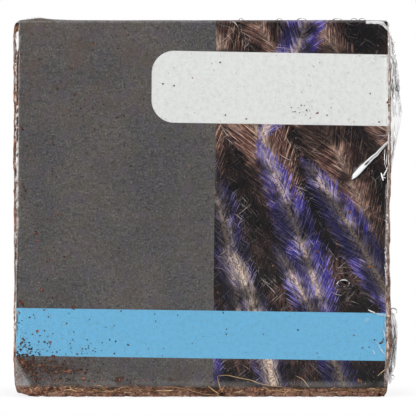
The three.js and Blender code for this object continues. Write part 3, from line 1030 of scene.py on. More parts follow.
def paper_finish():
    material, tree, shader = finish_of("printed_paper")
    flat = add(tree, "ShaderNodeUVMap", uv_map="print").outputs[0]
    place = scaled(tree, flat, (UV_UNIT / MM, UV_UNIT / MM, 0))
    across, height, _ = split(tree, place)
    level = times(tree, split(tree, add(tree, "ShaderNodeTexCoord").outputs["Object"])[2], 1 / MM)
    mottle = cloud(tree, place, 0.8, 4.0, 0.75)
    low_dirt = fade(tree, height, 40.0, 2.0)
    fine = cloud(tree, place, 1.9, 2.0, 0.8)
    broad = cloud(tree, shifted(tree, place, (7.0, 3.0, 0)), 0.055, 3.0, 0.6)
    tint = cloud(tree, shifted(tree, place, (3.0, 9.0, 0)), 0.3, 4.0, 0.7)
    grey = lay(tree, GREY_COOL, GREY_WARM, fade(tree, broad, 0.36, 0.62))
    for shade, field, start, end, strength in (
        (screen(60, 60, 61), mottle, 0.52, 0.32, 0.85),
        (screen(120, 117, 114), mottle, 0.5, 0.7, 0.85),
        (screen(54, 54, 56), fine, 0.5, 0.34, 0.6),
        (screen(136, 132, 129), fine, 0.52, 0.68, 0.6),
        (screen(94, 86, 98), tint, 0.52, 0.62, 0.55),
        (screen(92, 92, 82), tint, 0.47, 0.37, 0.5),
    ):
        grey = lay(tree, grey, shade, times(tree, fade(tree, field, start, end), strength))
    stain = fade(tree, cloud(tree, place, 0.12, 6.0, 0.7), 0.45, 0.7)
    grey = lay(tree, grey, GRIME, times(tree, stain, between(tree, low_dirt, 0.35, 0.9)))
    worn_top = times(tree, fade(tree, height, 66.0, 92.0), fade(tree, across, 46.0, 20.0))
    rust = times(tree, worn_top, fade(tree, cloud(tree, place, 0.16, 5.0, 0.65), 0.46, 0.66))
    grey = lay(tree, grey, screen(98, 80, 70), times(tree, rust, 0.5))
    beside = fade(tree, across, PICTURE_LEFT - PRINT_EDGE, PICTURE_LEFT + PRINT_EDGE)
    colour = lay(tree, grey, picture(tree, place), beside)
    back = fade(tree, height, BACK_START - 2 * PRINT_EDGE, BACK_START + 2 * PRINT_EDGE)
    colour = lay(tree, colour, grey, back)
    for centre, half, radius, ink in PLATES:
        mask = use(tree, plate, place=place, centre=centre, half_size=half, radius=radius)
        colour = lay(tree, colour, ink, mask["Mask"])
    colour = lay(tree, colour, (0.9, 0.89, 0.88, 1), fade(tree, mottle, 0.4, 0.7), "MULTIPLY")
    # Cracked ink shows paper along the cut edges and over the top fold, whose pale line is also painted
    # highlight
    fold_line_and_highlight = fade(tree, calc(tree, "ABSOLUTE", minus(tree, level, 99.9)), 0.22, 0.05)
    cracked = fade(tree, cloud(tree, scaled(tree, place, (0.5, 3.0, 0)), 1.0, 4.0, 0.7), 0.34, 0.66)
    colour = lay(tree, colour, PAPER_WHITE, times(tree, times(tree, fold_line_and_highlight, cracked), 0.2))
    right = minus(tree, LABEL_WIDTH / MM, across)
    rim = fade(tree, calc(tree, "MINIMUM", times(tree, across, 0.6), right), 0.16, 0.05)
    colour = lay(tree, colour, PAPER_WHITE, times(tree, rim, between(tree, cracked, 0.0, 0.75)))
    # A pale streaked patch at the upper right corner: ink worn off the paper, with painted glare of the film
    past = calc(tree, "MAXIMUM", minus(tree, 3.2, right), 0.0)
    arc = minus(tree, 99.35, times(tree, 0.21, times(tree, past, past)))
    ragged = plus(tree, arc, between(tree, cloud(tree, place, 1.2, 3.0), -0.25, 0.25))
    worn_ink_and_glare = times(tree, fade(tree, minus(tree, level, ragged), -0.05, 0.1), fade(tree, right, 6.2, 5.6))
    worn_ink_and_glare = times(tree, worn_ink_and_glare, fade(tree, height, 103.0, 101.5))
    streaked = lay(tree, screen(186, 185, 184), screen(228, 228, 227), cracked)
    colour = lay(tree, colour, streaked, worn_ink_and_glare)
    tear = minus(tree, level, times(tree, right, 1.6))
    tear = fade(tree, calc(tree, "ABSOLUTE", minus(tree, tear, 98.9)), 0.85, 0.6)
    tear = times(tree, tear, fade(tree, right, 1.5, 1.25))
    colour = lay(tree, colour, screen(24, 22, 24), times(tree, tear, fade(tree, level, 98.6, 98.8)))
    # Coir dust under the film: fine everywhere, thick towards the lower left corner, and there smeared
    off = calc(tree, "ABSOLUTE", minus(tree, height, 7.6))
    low_left = times(tree, fade(tree, across, 22.0, 12.0), fade(tree, off, 3.4, 0.6))
    smear = times(tree, low_left, fade(tree, cloud(tree, place, 0.7, 5.0, 0.75), 0.36, 0.58))
    colour = lay(tree, colour, screen(64, 51, 43), times(tree, smear, 0.8))
    nearness = plus(tree, calc(tree, "DIVIDE", across, 45.0), calc(tree, "DIVIDE", height, 40.0))
    crowded = fade(tree, nearness, 1.3, 0.15)
    for scale, size, near, far in ((1.15, 0.2, 0.75, 0.16), (2.4, 0.24, 0.8, 0.2), (0.6, 0.12, 0.7, 0.1)):
        amount = between(tree, crowded, far, near)
        dust = use(tree, specks, place=place, scale=scale, amount=amount, size=size)
        brown = lay(tree, screen(46, 34, 30), screen(170, 116, 80), fade(tree, dust["Tone"], 0.3, 0.8))
        brown = lay(tree, brown, screen(190, 184, 178), fade(tree, dust["Tone"], 0.86, 0.9))
        colour = lay(tree, colour, brown, times(tree, dust["Mask"], 0.7))
    plug(tree, colour, shader.inputs["Base Color"])
    shader.inputs["Roughness"].default_value = 0.6
    shader.inputs["Specular IOR Level"].default_value = 0.05  # the film over it does the shining
    bump = add(tree, "ShaderNodeBump", {"Height": mottle, "Strength": 0.25, "Distance": 0.05 * MM})
    plug(tree, bump.outputs[0], shader.inputs["Normal"])
    return material


label = make_label()

# %% [markdown]
# Crumbs of coir are trapped between the label and the film. The larger ones are real grains here, so that
# they catch light and cast small shadows. They crowd towards the lower left corner, where the block is worn.

# %% Crumbs on the label
CRUMB_COUNT = 1500
CRUMB_SIZE = (0.04 * MM, 0.26 * MM)
CRUMB_Y = label_front - 0.05 * MM
CRUMB_DEPTH = 0.09 * MM
# Crumbs that stand out, as x and height in mm and their size: rusty ones, then dark ones
RUSTY_CRUMBS = (
    (-29.2, 93.8, 0.4), (-38.4, 82.3, 0.35), (-33.8, 80.6, 0.35), (-22.7, 74.6, 0.3), (-48.0, 71.5, 0.4),
    (-44.2, 43.5, 0.5), (-43.9, 41.6, 0.4), (-38.6, 48.8, 0.3), (-36.8, 37.4, 0.4), (-40.5, 36.3, 0.35),
    (-42.9, 28.6, 0.45), (-48.1, 25.1, 0.45), (-48.9, 22.6, 0.3), (-34.3, 23.8, 0.45), (-44.1, 17.4, 0.45),
    (-40.5, 14.7, 0.3), (-33.3, 11.5, 0.25), (-39.6, 11.0, 0.4), (-40.6, 9.5, 0.35), (-31.2, 10.3, 0.25),
    (-48.2, 6.8, 0.4), (-35.2, 6.8, 0.6), (-31.8, 5.0, 0.5), (-22.2, 4.6, 0.8), (-39.4, 4.4, 0.4),
    (-37.8, 4.3, 0.3), (-41.2, 2.6, 0.65), (-39.2, 2.5, 0.55), (-28.6, 2.7, 0.5), (-25.3, 2.6, 0.65),
    (-8.3, 4.4, 0.4), (14.8, 97.3, 0.35), (31.1, 55.7, 0.35), (39.2, 49.3, 0.3), (30.8, 38.8, 0.35),
    (44.5, 34.8, 0.4), (30.7, 75.7, 0.3), (33.2, 75.1, 0.22), (42.0, 4.3, 0.45), (49.6, 78.6, 0.4),
    (49.75, 77.9, 0.3),
)
DARK_CRUMBS = (
    (-48.4, 12.7, 0.35), (-46.2, 12.8, 0.3), (-45.5, 12.9, 0.35), (-45.9, 11.8, 0.25), (-44.4, 12.0, 0.2),
    (-48.7, 11.2, 0.35), (-47.9, 11.3, 0.35), (-46.6, 11.0, 0.35), (-38.7, 12.0, 0.2), (-35.0, 13.0, 0.15),
    (-31.9, 12.9, 0.22), (-30.3, 13.1, 0.2), (-36.3, 11.4, 0.15), (-23.4, 11.7, 0.22), (-28.6, 13.0, 0.12),
    (-48.8, 19.8, 0.2), (-47.4, 15.1, 0.25), (-48.0, 14.6, 0.28), (-48.4, 14.2, 0.28), (-29.6, 14.3, 0.15),
    (-26.7, 14.5, 0.18), (-25.7, 18.6, 0.14), (-2.7, 14.3, 0.12), (-31.1, 6.4, 0.4), (-40.5, 5.6, 0.3),
    (41.9, 90.8, 0.15), (35.0, 88.3, 0.1), (23.7, 77.2, 0.22), (25.5, 77.0, 0.14), (25.9, 75.7, 0.17),
    (27.9, 76.0, 0.14), (28.8, 74.3, 0.17), (45.9, 15.2, 0.22), (-10.4, 83.4, 0.25), (47.5, 14.4, 0.28),
    (47.9, 14.8, 0.26), (48.3, 15.4, 0.2), (-47.9, 56.8, 0.35), (-46.9, 55.0, 0.35), (-47.4, 55.9, 0.2),
    (-41.5, 8.4, 0.3), (-39.0, 7.4, 0.35), (-37.2, 7.8, 0.3), (-43.0, 7.9, 0.3),
)
# Where crumbs lie thick: middle as x and height in mm, spread both ways, tilt, count
CROWDS = (
    (-47.0, 8.4, 2.6, 0.7, -1.0, 230), (-46.4, 8.6, 1.0, 0.8, 0.0, 110), (-38.0, 7.1, 4.6, 0.8, 0.0, 260),
    (-45.0, 6.0, 1.2, 0.9, 0.0, 60), (-46.5, 13.5, 2.4, 2.4, 0.0, 60), (-41.0, 4.2, 6.0, 0.7, 0.0, 100),
    (-25.0, 3.9, 12.0, 0.7, 0.0, 90), (20.0, 4.0, 18.0, 0.9, 0.0, 60), (-36.0, 12.0, 8.0, 2.0, 0.0, 50),
    (-48.4, 5.6, 0.7, 1.5, 0.0, 110), (27.0, 76.0, 3.0, 1.2, 0.0, 16), (-44.0, 45.0, 3.0, 22.0, 0.0, 60),
    (-30.0, 78.0, 6.0, 5.0, 0.0, 30),
)
CLUSTER = 6  # grains that cling together in one crumb that stands out


def make_crumbs():
    low = np.array((-49.3 * MM, CRUMB_Y, 3.3 * MM))
    high = np.array((48.4 * MM, CRUMB_Y, 98.5 * MM))
    even = random.uniform(low, high, (CRUMB_COUNT * 5, 3))
    left, height = (even[:, 0] - low[0]) / MM, (even[:, 2] - low[2]) / MM
    crowd = 0.05 + 0.5 * np.exp(-left / 16 - height / 14)
    crowd = crowd + 0.2 * np.exp(-left / 9) + 0.1 * np.exp(-height / 8)
    places = [even[random.uniform(0, 1, len(even)) < crowd][:CRUMB_COUNT]]
    scattered = len(places[0])
    for x, z, wide, tall, tilt, count in CROWDS:
        spot = random.normal((0, 0), (wide, tall), (count, 2))
        spot[:, 1] += tilt * spot[:, 0]
        places.append(np.stack((spot[:, 0] + x, np.full(count, CRUMB_Y / MM), spot[:, 1] + z), 1) * MM)
    places = np.vstack(places)
    crowded = np.arange(len(places)) >= scattered
    inside = np.all((places > low - 0.2 * MM) & (places < high + 0.2 * MM), axis=1)
    places, crowded = places[inside], crowded[inside]
    spread = random.uniform(0, 1, len(places)) ** np.where(crowded, 1.2, 2.2)
    sizes = CRUMB_SIZE[0] + (CRUMB_SIZE[1] - CRUMB_SIZE[0]) * spread
    tones = np.where(random.uniform(0, 1, len(places)) < 0.75, random.uniform(0, 0.3, len(places)), 0.38)
    noted, noted_sizes, noted_tones = [], [], []
    for crumbs, least, most, spread in ((RUSTY_CRUMBS, 0.15, 0.5, 0.45), (DARK_CRUMBS, 0.0, 0.2, 0.3)):
        for x, z, size in crumbs:
            for _ in range(CLUSTER):
                step = random.normal(0, size * spread, 2)
                noted.append(((x + step[0]) * MM, CRUMB_Y, (z + step[1]) * MM))
                noted_sizes.append(size * random.uniform(0.4, 0.8) * MM)
                noted_tones.append(random.uniform(least, most))
    places, sizes = np.vstack((places, noted)), np.append(sizes, noted_sizes)
    template = template_grain()
    copies = grain_copies(template, places, np.tile(-Y, (len(places), 1)), sizes, 1.0)
    thin = np.minimum(1.0, CRUMB_DEPTH / np.maximum(sizes, 0.01 * MM))[:, None]
    copies[:, :, 1] = CRUMB_Y + (copies[:, :, 1] - CRUMB_Y) * thin
    mesh = copies_mesh("label_crumbs", template, copies, np.append(tones, noted_tones))
    finish = pith_finish("trapped_pith", loose=True, rusty=(0.3, 1.0))
    piece("label_crumbs", mesh, finish)


make_crumbs()

# %% [markdown]
# A few long fibres have worked loose and lie flat under the film, most of them at the lower edge. They are
# drawn as points in millimetres on the face, and a smooth curve through the points leads the tube.

# %% Loose fibres
LOOSE_FIBRES = (
    # points as x and height in mm, radius in mm, tone
    (((4.0, 5.6), (4.4, 3.7), (5.1, 1.8), (5.5, 2.4), (6.0, 3.1)), 0.15, 0.82),
    (((4.1, 5.6), (6.7, 5.8), (10.2, 5.0), (12.9, 4.5), (15.3, 3.6), (17.9, 3.1),
      (21.2, 2.7)), 0.12, 0.88),
    (((1.6, 2.9), (3.0, 1.8), (4.5, 0.8)), 0.14, 0.9),
    (((-12.0, 2.7), (-7.2, 2.6), (-3.3, 1.8), (0.5, 0.8), (4.5, 0.4)), 0.12, 0.78),
    (((-19.4, 3.3), (-17.4, 2.9), (-16.0, 1.6)), 0.08, 0.7),
    (((46.7, 5.6), (47.8, 6.6), (48.9, 7.5)), 0.1, 0.97),
    (((25.0, 5.6), (26.9, 4.6), (28.5, 2.5)), 0.07, 0.95),
    (((21.5, 0.6), (22.3, 1.3), (22.9, 1.8)), 0.1, 0.9),
    (((14.6, 10.0), (15.3, 8.2), (13.8, 6.8)), 0.07, 0.5),
    (((-47.9, 56.8), (-47.3, 55.6), (-46.7, 54.7)), 0.1, 0.15),
    (((-27.0, 6.2), (-26.8, 5.2), (-27.0, 4.2), (-26.2, 3.7)), 0.07, 0.8),
    (((-28.8, 3.2), (-27.2, 3.0), (-25.9, 2.2)), 0.1, 0.85),
    (((-35.3, 3.0), (-34.7, 1.9), (-33.3, 1.5)), 0.1, 0.93),
    (((-46.0, 2.4), (-45.6, 1.7), (-45.3, 1.2)), 0.1, 0.9),
    (((-24.0, 1.2), (-16.0, 1.9), (-9.0, 1.1)), 0.1, 0.7),
    (((30.0, 1.2), (36.0, 2.0), (42.0, 1.5), (46.0, 2.2)), 0.1, 0.6),
)
LOOSE_STATIONS = 24
LOOSE_Y = label_front - 0.06 * MM


def smooth_path(points, count):
    """Evenly spaced points on a curve through the given ones"""
    points = np.array(points, dtype=float)
    padded = np.vstack((2 * points[0] - points[1], points, 2 * points[-1] - points[-2]))
    made = []
    for t in np.linspace(0, len(points) - 1 - 1e-6, count):
        i, f = int(t), t % 1
        a, b, c, d = padded[i:i + 4]
        square, cube = 2 * a - 5 * b + 4 * c - d, 3 * b - 3 * c + d - a
        made.append(0.5 * (2 * b + (c - a) * f + square * f * f + cube * f ** 3))
    return np.array(made)


def make_loose_fibres():
    paths, radii, tones = [], [], []
    for points, radius, tone in LOOSE_FIBRES:
        flat = smooth_path(points, LOOSE_STATIONS) * MM
        paths.append(np.stack((flat[:, 0], np.full(LOOSE_STATIONS, LOOSE_Y), flat[:, 1]), 1))
        radii.append(radius * MM)
        tones.append(tone)
    template = template_tube(LOOSE_STATIONS)
    copies = tube_copies(template, paths, [-Y] * len(paths), radii)
    mesh = copies_mesh("loose_fibres", template, copies, tones)
    piece("loose_fibres", mesh, fibre_finish())


make_loose_fibres()

# %% [markdown]
# Shrink film is the hard part. Pulled by the heat it becomes a skin under tension: it touches the high points
# and bridges the hollows between them. That is solved rather than drawn. A ray from each point of the skin
# finds what lies below it, and then every point is moved again and again to the mean of its neighbours, but
# never below what it covers. Creases, gathers and the rim of the vent are then added outwards.

# %% The taut skin
PROBE = 3 * MM
CLEARANCE = 0.1 * MM
TAUT_ROUNDS = 60


def taut(mesh, outward, covered):
    """How far each point lies outside its place, taut over what the tree holds"""
    points = points_of(mesh)
    depth = np.full(len(points), -PROBE)
    for i, (point, out) in enumerate(zip(points, outward)):
        hit = covered.ray_cast(Vector(point + out * PROBE), Vector(-out), 2 * PROBE)
        if hit[0] is not None:
            depth[i] = PROBE - hit[3]
    ends = np.empty(len(mesh.edges) * 2, dtype=int)
    mesh.edges.foreach_get("vertices", ends)
    a, b = ends.reshape(-1, 2).T
    total = len(points)
    neighbours = np.bincount(a, minlength=total) + np.bincount(b, minlength=total)
    lowest = depth + CLEARANCE
    height = lowest.copy()
    for _ in range(TAUT_ROUNDS):
        mean = (np.bincount(a, height[b], total) + np.bincount(b, height[a], total)) / neighbours
        height = np.maximum(lowest, mean)
    return height


def covered_tree(pieces):
    """One tree of all the triangles of some pieces, to cast rays at"""
    corners, faces, count = [], [], 0
    for covered in pieces:
        corners.extend(v.co for v in covered.data.vertices)
        faces.extend([count + i for i in face.vertices] for face in covered.data.polygons)
        count = len(corners)
    return BVHTree.FromPolygons(corners, faces)


# %% Creases that show
VENT = {"x": 37.6 * MM, "z": 30.3 * MM, "half_x": 1.3 * MM, "half_z": 0.75 * MM}
# Each crease is a line of points: x and height in mm, half width in mm, and how white its middle is painted,
# for milkiness and glint. Then come how far it stands up in mm, how white its rims are painted as glint, and
# how dark the painted shade beside it is. One that doesn't stand up is a dark mark of painted shade in another.
CREASES = (
    (((39.87, 58.0, 0.05, 0.97), (40.5, 58.9, 0.5, 0.97), (41.35, 59.85, 0.62, 0.97),
      (42.4, 61.0, 0.62, 0.97), (43.2, 61.75, 0.54, 0.97), (43.5, 62.1, 0.52, 0.35),
      (44.53, 63.09, 0.48, 0.28), (45.41, 63.94, 0.44, 0.28), (46.32, 64.6, 0.4, 0.28),
      (47.2, 65.7, 0.32, 0.28), (48.02, 66.57, 0.28, 0.28), (48.63, 67.18, 0.28, 0.32),
      (49.37, 67.87, 0.28, 0.4)), 0.25, 0.95, 0.95),
    (((43.15, 61.7, 0.06, 0.0), (43.7, 62.2, 0.17, 0.0), (44.3, 62.75, 0.06, 0.0)), 0.0, 0.0, 1.0),
    (((48.6, 66.4, 0.06, 0.3), (48.5, 64.0, 0.11, 0.5), (48.6, 62.0, 0.1, 0.5),
      (49.0, 60.8, 0.08, 0.6)), 0.2, 0.3, 0.9),
    (((49.1, 65.0, 0.06, 0.4), (49.0, 63.3, 0.12, 0.7), (48.95, 61.9, 0.08, 0.5)), 0.2, 0.3, 0.8),
    (((49.3, 61.15, 0.1, 0.8), (48.8, 60.05, 0.15, 0.95), (48.3, 59.1, 0.16, 0.95)), 0.25, 0.5, 0.8),
    (((48.3, 58.5, 0.13, 0.9), (48.7, 58.4, 0.1, 0.8)), 0.15, 0.3, 0.5),
    (((47.6, 59.65, 0.12, 0.95), (47.85, 58.7, 0.24, 0.97), (48.1, 57.8, 0.16, 0.97)), 0.25, 0.5, 0.9),
    (((47.6, 71.8, 0.04, 0.3), (47.8, 70.9, 0.06, 0.4), (48.0, 70.1, 0.03, 0.2)), 0.1, 0.0, 0.2),
    (((48.3, 71.9, 0.05, 0.5), (48.4, 70.9, 0.09, 0.7), (48.5, 70.0, 0.04, 0.4)), 0.1, 0.0, 0.3),
    (((43.9, 23.5, 0.08, 0.7), (44.9, 22.9, 0.17, 0.8), (45.9, 22.5, 0.14, 0.5)), 0.1, 0.1, 0.1),
    (((45.5, 22.6, 0.1, 0.15), (46.9, 22.1, 0.26, 0.2), (48.5, 21.8, 0.28, 0.2),
      (50.3, 21.6, 0.28, 0.4)), 0.08, 0.0, 0.03),
    (((46.9, 13.9, 0.03, 0.3), (47.5, 12.9, 0.09, 0.7), (48.0, 12.1, 0.1, 0.8),
      (48.7, 11.3, 0.03, 0.4)), 0.15, 0.4, 0.0),
    (((46.3, 15.2, 0.03, 0.15), (46.9, 14.2, 0.06, 0.3), (47.2, 13.3, 0.03, 0.2)), 0.1, 0.2, 0.0),
    (((49.6, 7.6, 0.06, 0.6), (49.9, 6.9, 0.14, 0.7), (50.0, 6.2, 0.06, 0.5)), 0.2, 0.3, 0.2),
    (((45.5, 88.5, 0.03, 0.1), (46.0, 90.6, 0.07, 0.25), (46.6, 92.3, 0.04, 0.15)), 0.1, 0.1, 0.1),
    (((47.0, 90.8, 0.03, 0.2), (48.2, 90.7, 0.1, 0.5), (49.2, 90.9, 0.08, 0.5)), 0.15, 0.2, 0.1),
    (((48.35, 100.05, 0.14, 0.0), (48.85, 99.85, 0.3, 0.0), (49.2, 99.4, 0.3, 0.0),
      (49.2, 98.9, 0.1, 0.0)), 0.0, 0.0, 1.0),
    (((43.2, 21.6, 0.3, 0.05), (44.0, 20.8, 0.5, 0.08), (43.9, 19.8, 0.3, 0.05)), 0.05, 0.0, 0.0),
    (((48.0, 18.4, 0.1, 0.1), (48.5, 16.8, 0.2, 0.3), (48.4, 15.2, 0.12, 0.15)), 0.1, 0.1, 0.1),
    (((45.2, 12.6, 0.1, 0.1), (45.8, 11.9, 0.22, 0.2), (46.0, 11.2, 0.1, 0.1)), 0.1, 0.1, 0.0),
    (((48.6, 20.6, 0.1, 0.1), (48.75, 19.4, 0.16, 0.3), (48.6, 18.2, 0.1, 0.2)), 0.1, 0.0, 0.1),
    (((49.25, 48.6, 0.1, 0.6), (49.45, 48.4, 0.2, 0.9), (49.6, 48.2, 0.1, 0.6)), 0.1, 0.1, 0.3),
    (((49.2, 45.2, 0.1, 0.6), (49.35, 45.0, 0.17, 0.85), (49.5, 44.9, 0.1, 0.6)), 0.1, 0.1, 0.3),
    (((49.1, 35.8, 0.1, 0.6), (49.25, 35.5, 0.18, 0.85), (49.4, 35.2, 0.1, 0.6)), 0.1, 0.1, 0.3),
    (((49.1, 30.9, 0.1, 0.5), (49.2, 30.7, 0.13, 0.75), (49.3, 30.6, 0.1, 0.5)), 0.1, 0.1, 0.3),
)
# Painted glints on the gathered film along the left edge, in the same form
LEFT_GLINTS = (
    ((-48.9, 97.3, 0.12, 0.9), (-49.35, 96.4, 0.6, 0.97), (-49.42, 95.1, 0.72, 0.97),
      (-49.3, 93.5, 0.56, 0.95), (-49.06, 92.15, 0.14, 0.9)),
    ((-49.3, 91.0, 0.14, 0.8), (-49.7, 89.4, 0.22, 0.9), (-49.8, 87.6, 0.2, 0.9),
      (-49.85, 86.3, 0.26, 0.95), (-49.8, 84.6, 0.14, 0.7)),
    ((-49.13, 82.2, 0.1, 0.25), (-49.12, 81.0, 0.2, 0.4), (-49.1, 79.9, 0.1, 0.3)),
    ((-49.1, 79.8, 0.05, 0.4), (-49.15, 77.9, 0.08, 0.6), (-49.45, 77.1, 0.2, 0.95),
      (-49.85, 76.2, 0.2, 0.95)),
    ((-49.3, 75.4, 0.12, 0.9), (-49.65, 74.7, 0.2, 0.95), (-49.98, 73.5, 0.15, 0.85),
      (-50.0, 73.0, 0.06, 0.6)),
    ((-49.2, 72.0, 0.1, 0.8), (-49.7, 71.4, 0.18, 0.95), (-49.98, 70.6, 0.14, 0.8),
      (-50.0, 69.3, 0.12, 0.6), (-49.95, 68.2, 0.06, 0.5)),
    ((-49.15, 70.6, 0.07, 0.5), (-49.25, 67.7, 0.07, 0.4)),
)
# The painted shade beside a crease: its width, and its shift to the lower right
SHADE_WIDTH = 0.13 * MM
SHADE_SIDE = (0.09 * MM, -0.12 * MM)  # the dark line lies mostly to the lower right of a crease


def thread(low, high, seed, milk_and_glint_white, side=-1):
    """A painted glint that runs up an edge strip, in places bright and in places nearly gone"""
    made = []
    for z in np.arange(low, high, 0.45):
        bright = min(1.0, max(0.0, 2.8 * noise.fractal(Vector((z / 2.0, seed, 0)), 1.0, 2.0, 2) + 0.5))
        wander = noise.fractal(Vector((z / 3.0, seed + 4, 0)), 1.0, 2.0, 2)
        x = -49.62 + 0.35 * wander * (z > 45) - 0.007 * (50 - z) if side < 0 else 50.12 + 0.2 * wander
        made.append((x, z, 0.05 + 0.17 * bright, milk_and_glint_white * (0.1 + 0.9 * bright)))
    return tuple(made)


# Each glint stands up a little, is painted white and has a faint painted shade beside it
GLINTS = tuple((points, 0.12, 0.2, 0.15) for points in (
    *LEFT_GLINTS, thread(17, 68, 2.0, 0.97), thread(54, 66, 30.0, 0.97), thread(62, 97, 43.0, 0.95, side=1),
))


def crease_fields(x, z, creases):
    """Rise, painted glint with milkiness, and painted shade of the creases at places on the front"""
    rise, milk_and_painted_glint, shade = np.zeros_like(x), np.zeros_like(x), np.zeros_like(x)
    for points, height, rim_glint, beside in creases:
        path = smooth_path(points, 24 * len(points))
        path[:, :3] *= MM
        near = np.flatnonzero(
            (x > path[:, 0].min() - 1.5 * MM) & (x < path[:, 0].max() + 1.5 * MM)
            & (z > path[:, 1].min() - 1.5 * MM) & (z < path[:, 1].max() + 1.5 * MM)
        )
        apart = np.hypot(x[near, None] - path[None, :, 0], z[near, None] - path[None, :, 1])
        station = apart.argmin(axis=1)
        away = apart[np.arange(len(near)), station]
        half = np.maximum(path[station, 2], 0.03 * MM)
        across = away / half
        flat_top = np.clip((1.25 - across) / 0.5, 0, 1)
        strong = np.clip(half / (0.15 * MM), 0, 1)
        rise[near] = np.maximum(rise[near], height * MM * flat_top * strong)
        if not height:
            milk_and_painted_glint[near] *= np.clip(across - 0.6, 0, 1)
            shade[near] = np.maximum(shade[near], beside * np.clip(1.4 - across, 0, 1))
            continue
        middle = path[station, 3] * np.clip((1.05 - across) / 0.3, 0, 1)
        milk_and_painted_glint[near] = np.maximum(milk_and_painted_glint[near], np.maximum(middle, rim_glint * strong * bell(across, 0.78, 0.3)))
        lower = np.hypot(
            x[near] - SHADE_SIDE[0] - path[station, 0], z[near] - SHADE_SIDE[1] - path[station, 1]
        )
        dark = beside * strong * bell(lower, half + SHADE_WIDTH * 0.7, SHADE_WIDTH)
        shade[near] = np.maximum(shade[near], dark * (across > 0.9))
    return rise, milk_and_painted_glint, shade


# %% Gathers, waves and the rim of the vent
EDGE_GATHER = 0.1 * MM  # how far the gathers stand up along the upright edges of the front
SIDE_GATHER = 0.16 * MM  # and on the narrow sides
BROAD_WAVE = 0.02 * MM
VENT_RIM = 0.12 * MM


def vent_ring(x, z):
    """1 on the edge of the vent hole, growing outwards"""
    return np.hypot((x - VENT["x"]) / VENT["half_x"], (z - VENT["z"]) / VENT["half_z"])


def film_waves(points, outward):
    x, y, z = points.T
    on_front = np.abs(outward[:, 1]) > 0.9
    to_side = half_width - np.abs(x)
    to_edge = np.minimum(np.minimum(to_side, film_top - z), z)
    upright_edge = to_side < np.minimum(film_top - z, z)
    run = np.where(upright_edge, z, x)
    face = np.sign(y) * 5 + upright_edge * 3 + np.sign(x)
    gathers = lumps(np.stack((run, to_edge, face * MM * 3), 1), (1.6 * MM, 7 * MM, MM), 3)
    at_side = np.exp(-to_edge / (1.6 * MM)) * upright_edge
    rise = np.where(on_front, EDGE_GATHER * at_side * (0.3 + gathers), 0)
    lengthwise = lumps(points, (3.0 * MM, 1.4 * MM, 9 * MM), 3, seed=2.0)
    crosswise = lumps(points, (9 * MM, 1.4 * MM, 3.0 * MM), 3, seed=2.0)
    rise = np.where(np.abs(outward[:, 0]) > 0.7, SIDE_GATHER * lengthwise, rise)
    rise = np.where(outward[:, 2] > 0.7, SIDE_GATHER * 0.3 * crosswise, rise)
    broad = BROAD_WAVE * (1 + lumps(points, 16 * MM, 2, seed=9.0))
    return np.clip(rise, 0, None) + np.where(on_front, broad, 0)


# The right strip's haze, which is also a painted sheen
VEIL_HEIGHTS = (28, 36, 58, 66)  # in mm
VEIL_EVEN = (0.03, 0.06, 0.2, 0.3)  # how milky the right strip is at these heights
VEIL_STREAKS = (0.4, 0.4, 0.45, 0.7)  # and how much its streaks add
STRIP_DEPTH = 1.6 * MM  # how far the strips beside the label reach round to the sides


def veil_and_painted_sheen(points, outward):
    """How hazy the film is: at its worn lower corner, along the label's lower edge, and beside the label with
    painted sheen
    """
    x, y, z = points.T
    patchy = np.clip(0.6 + 0.8 * lumps(points, (5 * MM, 2 * MM, 2 * MM), 2, seed=5.0), 0, 1)
    grainy = np.clip(0.5 + 0.9 * lumps(points, 0.9 * MM, 3, seed=6.0), 0, 1)
    slant = -45.5 * MM - 0.57 * (z - 3.2 * MM)  # the corner's veil ends on this line
    inside = np.clip((slant - x) / (0.7 * MM), 0, 1) * np.clip((z - 2.9 * MM) / (0.3 * MM), 0, 1)
    corner = inside * np.clip((11.5 * MM - z) / (1.5 * MM), 0, 1) * (0.11 + 0.03 * grainy)
    edge_line = bell(x, slant, 0.11 * MM) * np.clip((11.0 * MM - z) / MM, 0, 1) * (z > 3 * MM)
    corner += 0.1 * edge_line * patchy
    low_edge = 0.07 * bell(z, 3.3 * MM, 0.7 * MM) * (z > 2.9 * MM) * patchy
    front = (outward[:, 1] < -0.5) * (corner + low_edge)
    streaks = np.clip(0.5 + 1.6 * lumps(points, (0.4 * MM, 2 * MM, 1.3 * MM), 3, seed=13.0), 0, 1) ** 2.5
    # Beside the label, right and left, the streaky haze is also a painted sheen
    label_right = np.interp(z / MM, *zip(*RIGHT_EDGE)) * MM
    right = np.clip((x - label_right) / (0.15 * MM), 0, 1) * (y < film_front + STRIP_DEPTH)
    right *= np.clip((z - 3 * MM) / (3 * MM), 0, 1)
    right *= np.clip((50.1 * MM - x) / (0.4 * MM), 0.35, 1)
    even, streaky = (np.interp(z / MM, VEIL_HEIGHTS, milk_and_painted_glint) for milk_and_painted_glint in (VEIL_EVEN, VEIL_STREAKS))
    right *= even + streaky * streaks
    label_left = np.interp(z / MM, *zip(*LEFT_EDGE)) * MM
    left = np.clip((label_left - x) / (0.15 * MM), 0, 1) * (y < film_front + STRIP_DEPTH)
    left *= np.clip((z - 12 * MM) / (2 * MM), 0, 1) * np.clip((97 * MM - z) / MM, 0, 1)
    left *= np.clip((-49.4 * MM - x) / (0.25 * MM), 0.12, 1)
    return front + right + left * (0.02 + 0.4 * streaks)


def clinging(points):
    """1 where the film clings to the coir along the front's edges and so mirrors little"""
    x, y, z = points.T
    beside = np.clip((np.abs(x) - 48.4 * MM) / (0.3 * MM), 0, 1)
    low = 0.9 * np.clip((3.6 * MM - z) / (0.4 * MM), 0, 1)
    top = 0.92 * np.clip((z - film_top + 1.2 * MM) / (0.5 * MM), 0, 1)
    near_front = np.clip((film_front + STRIP_DEPTH - y) / (0.5 * MM), 0, 1)
    return np.maximum(np.maximum(beside, low), top) * near_front


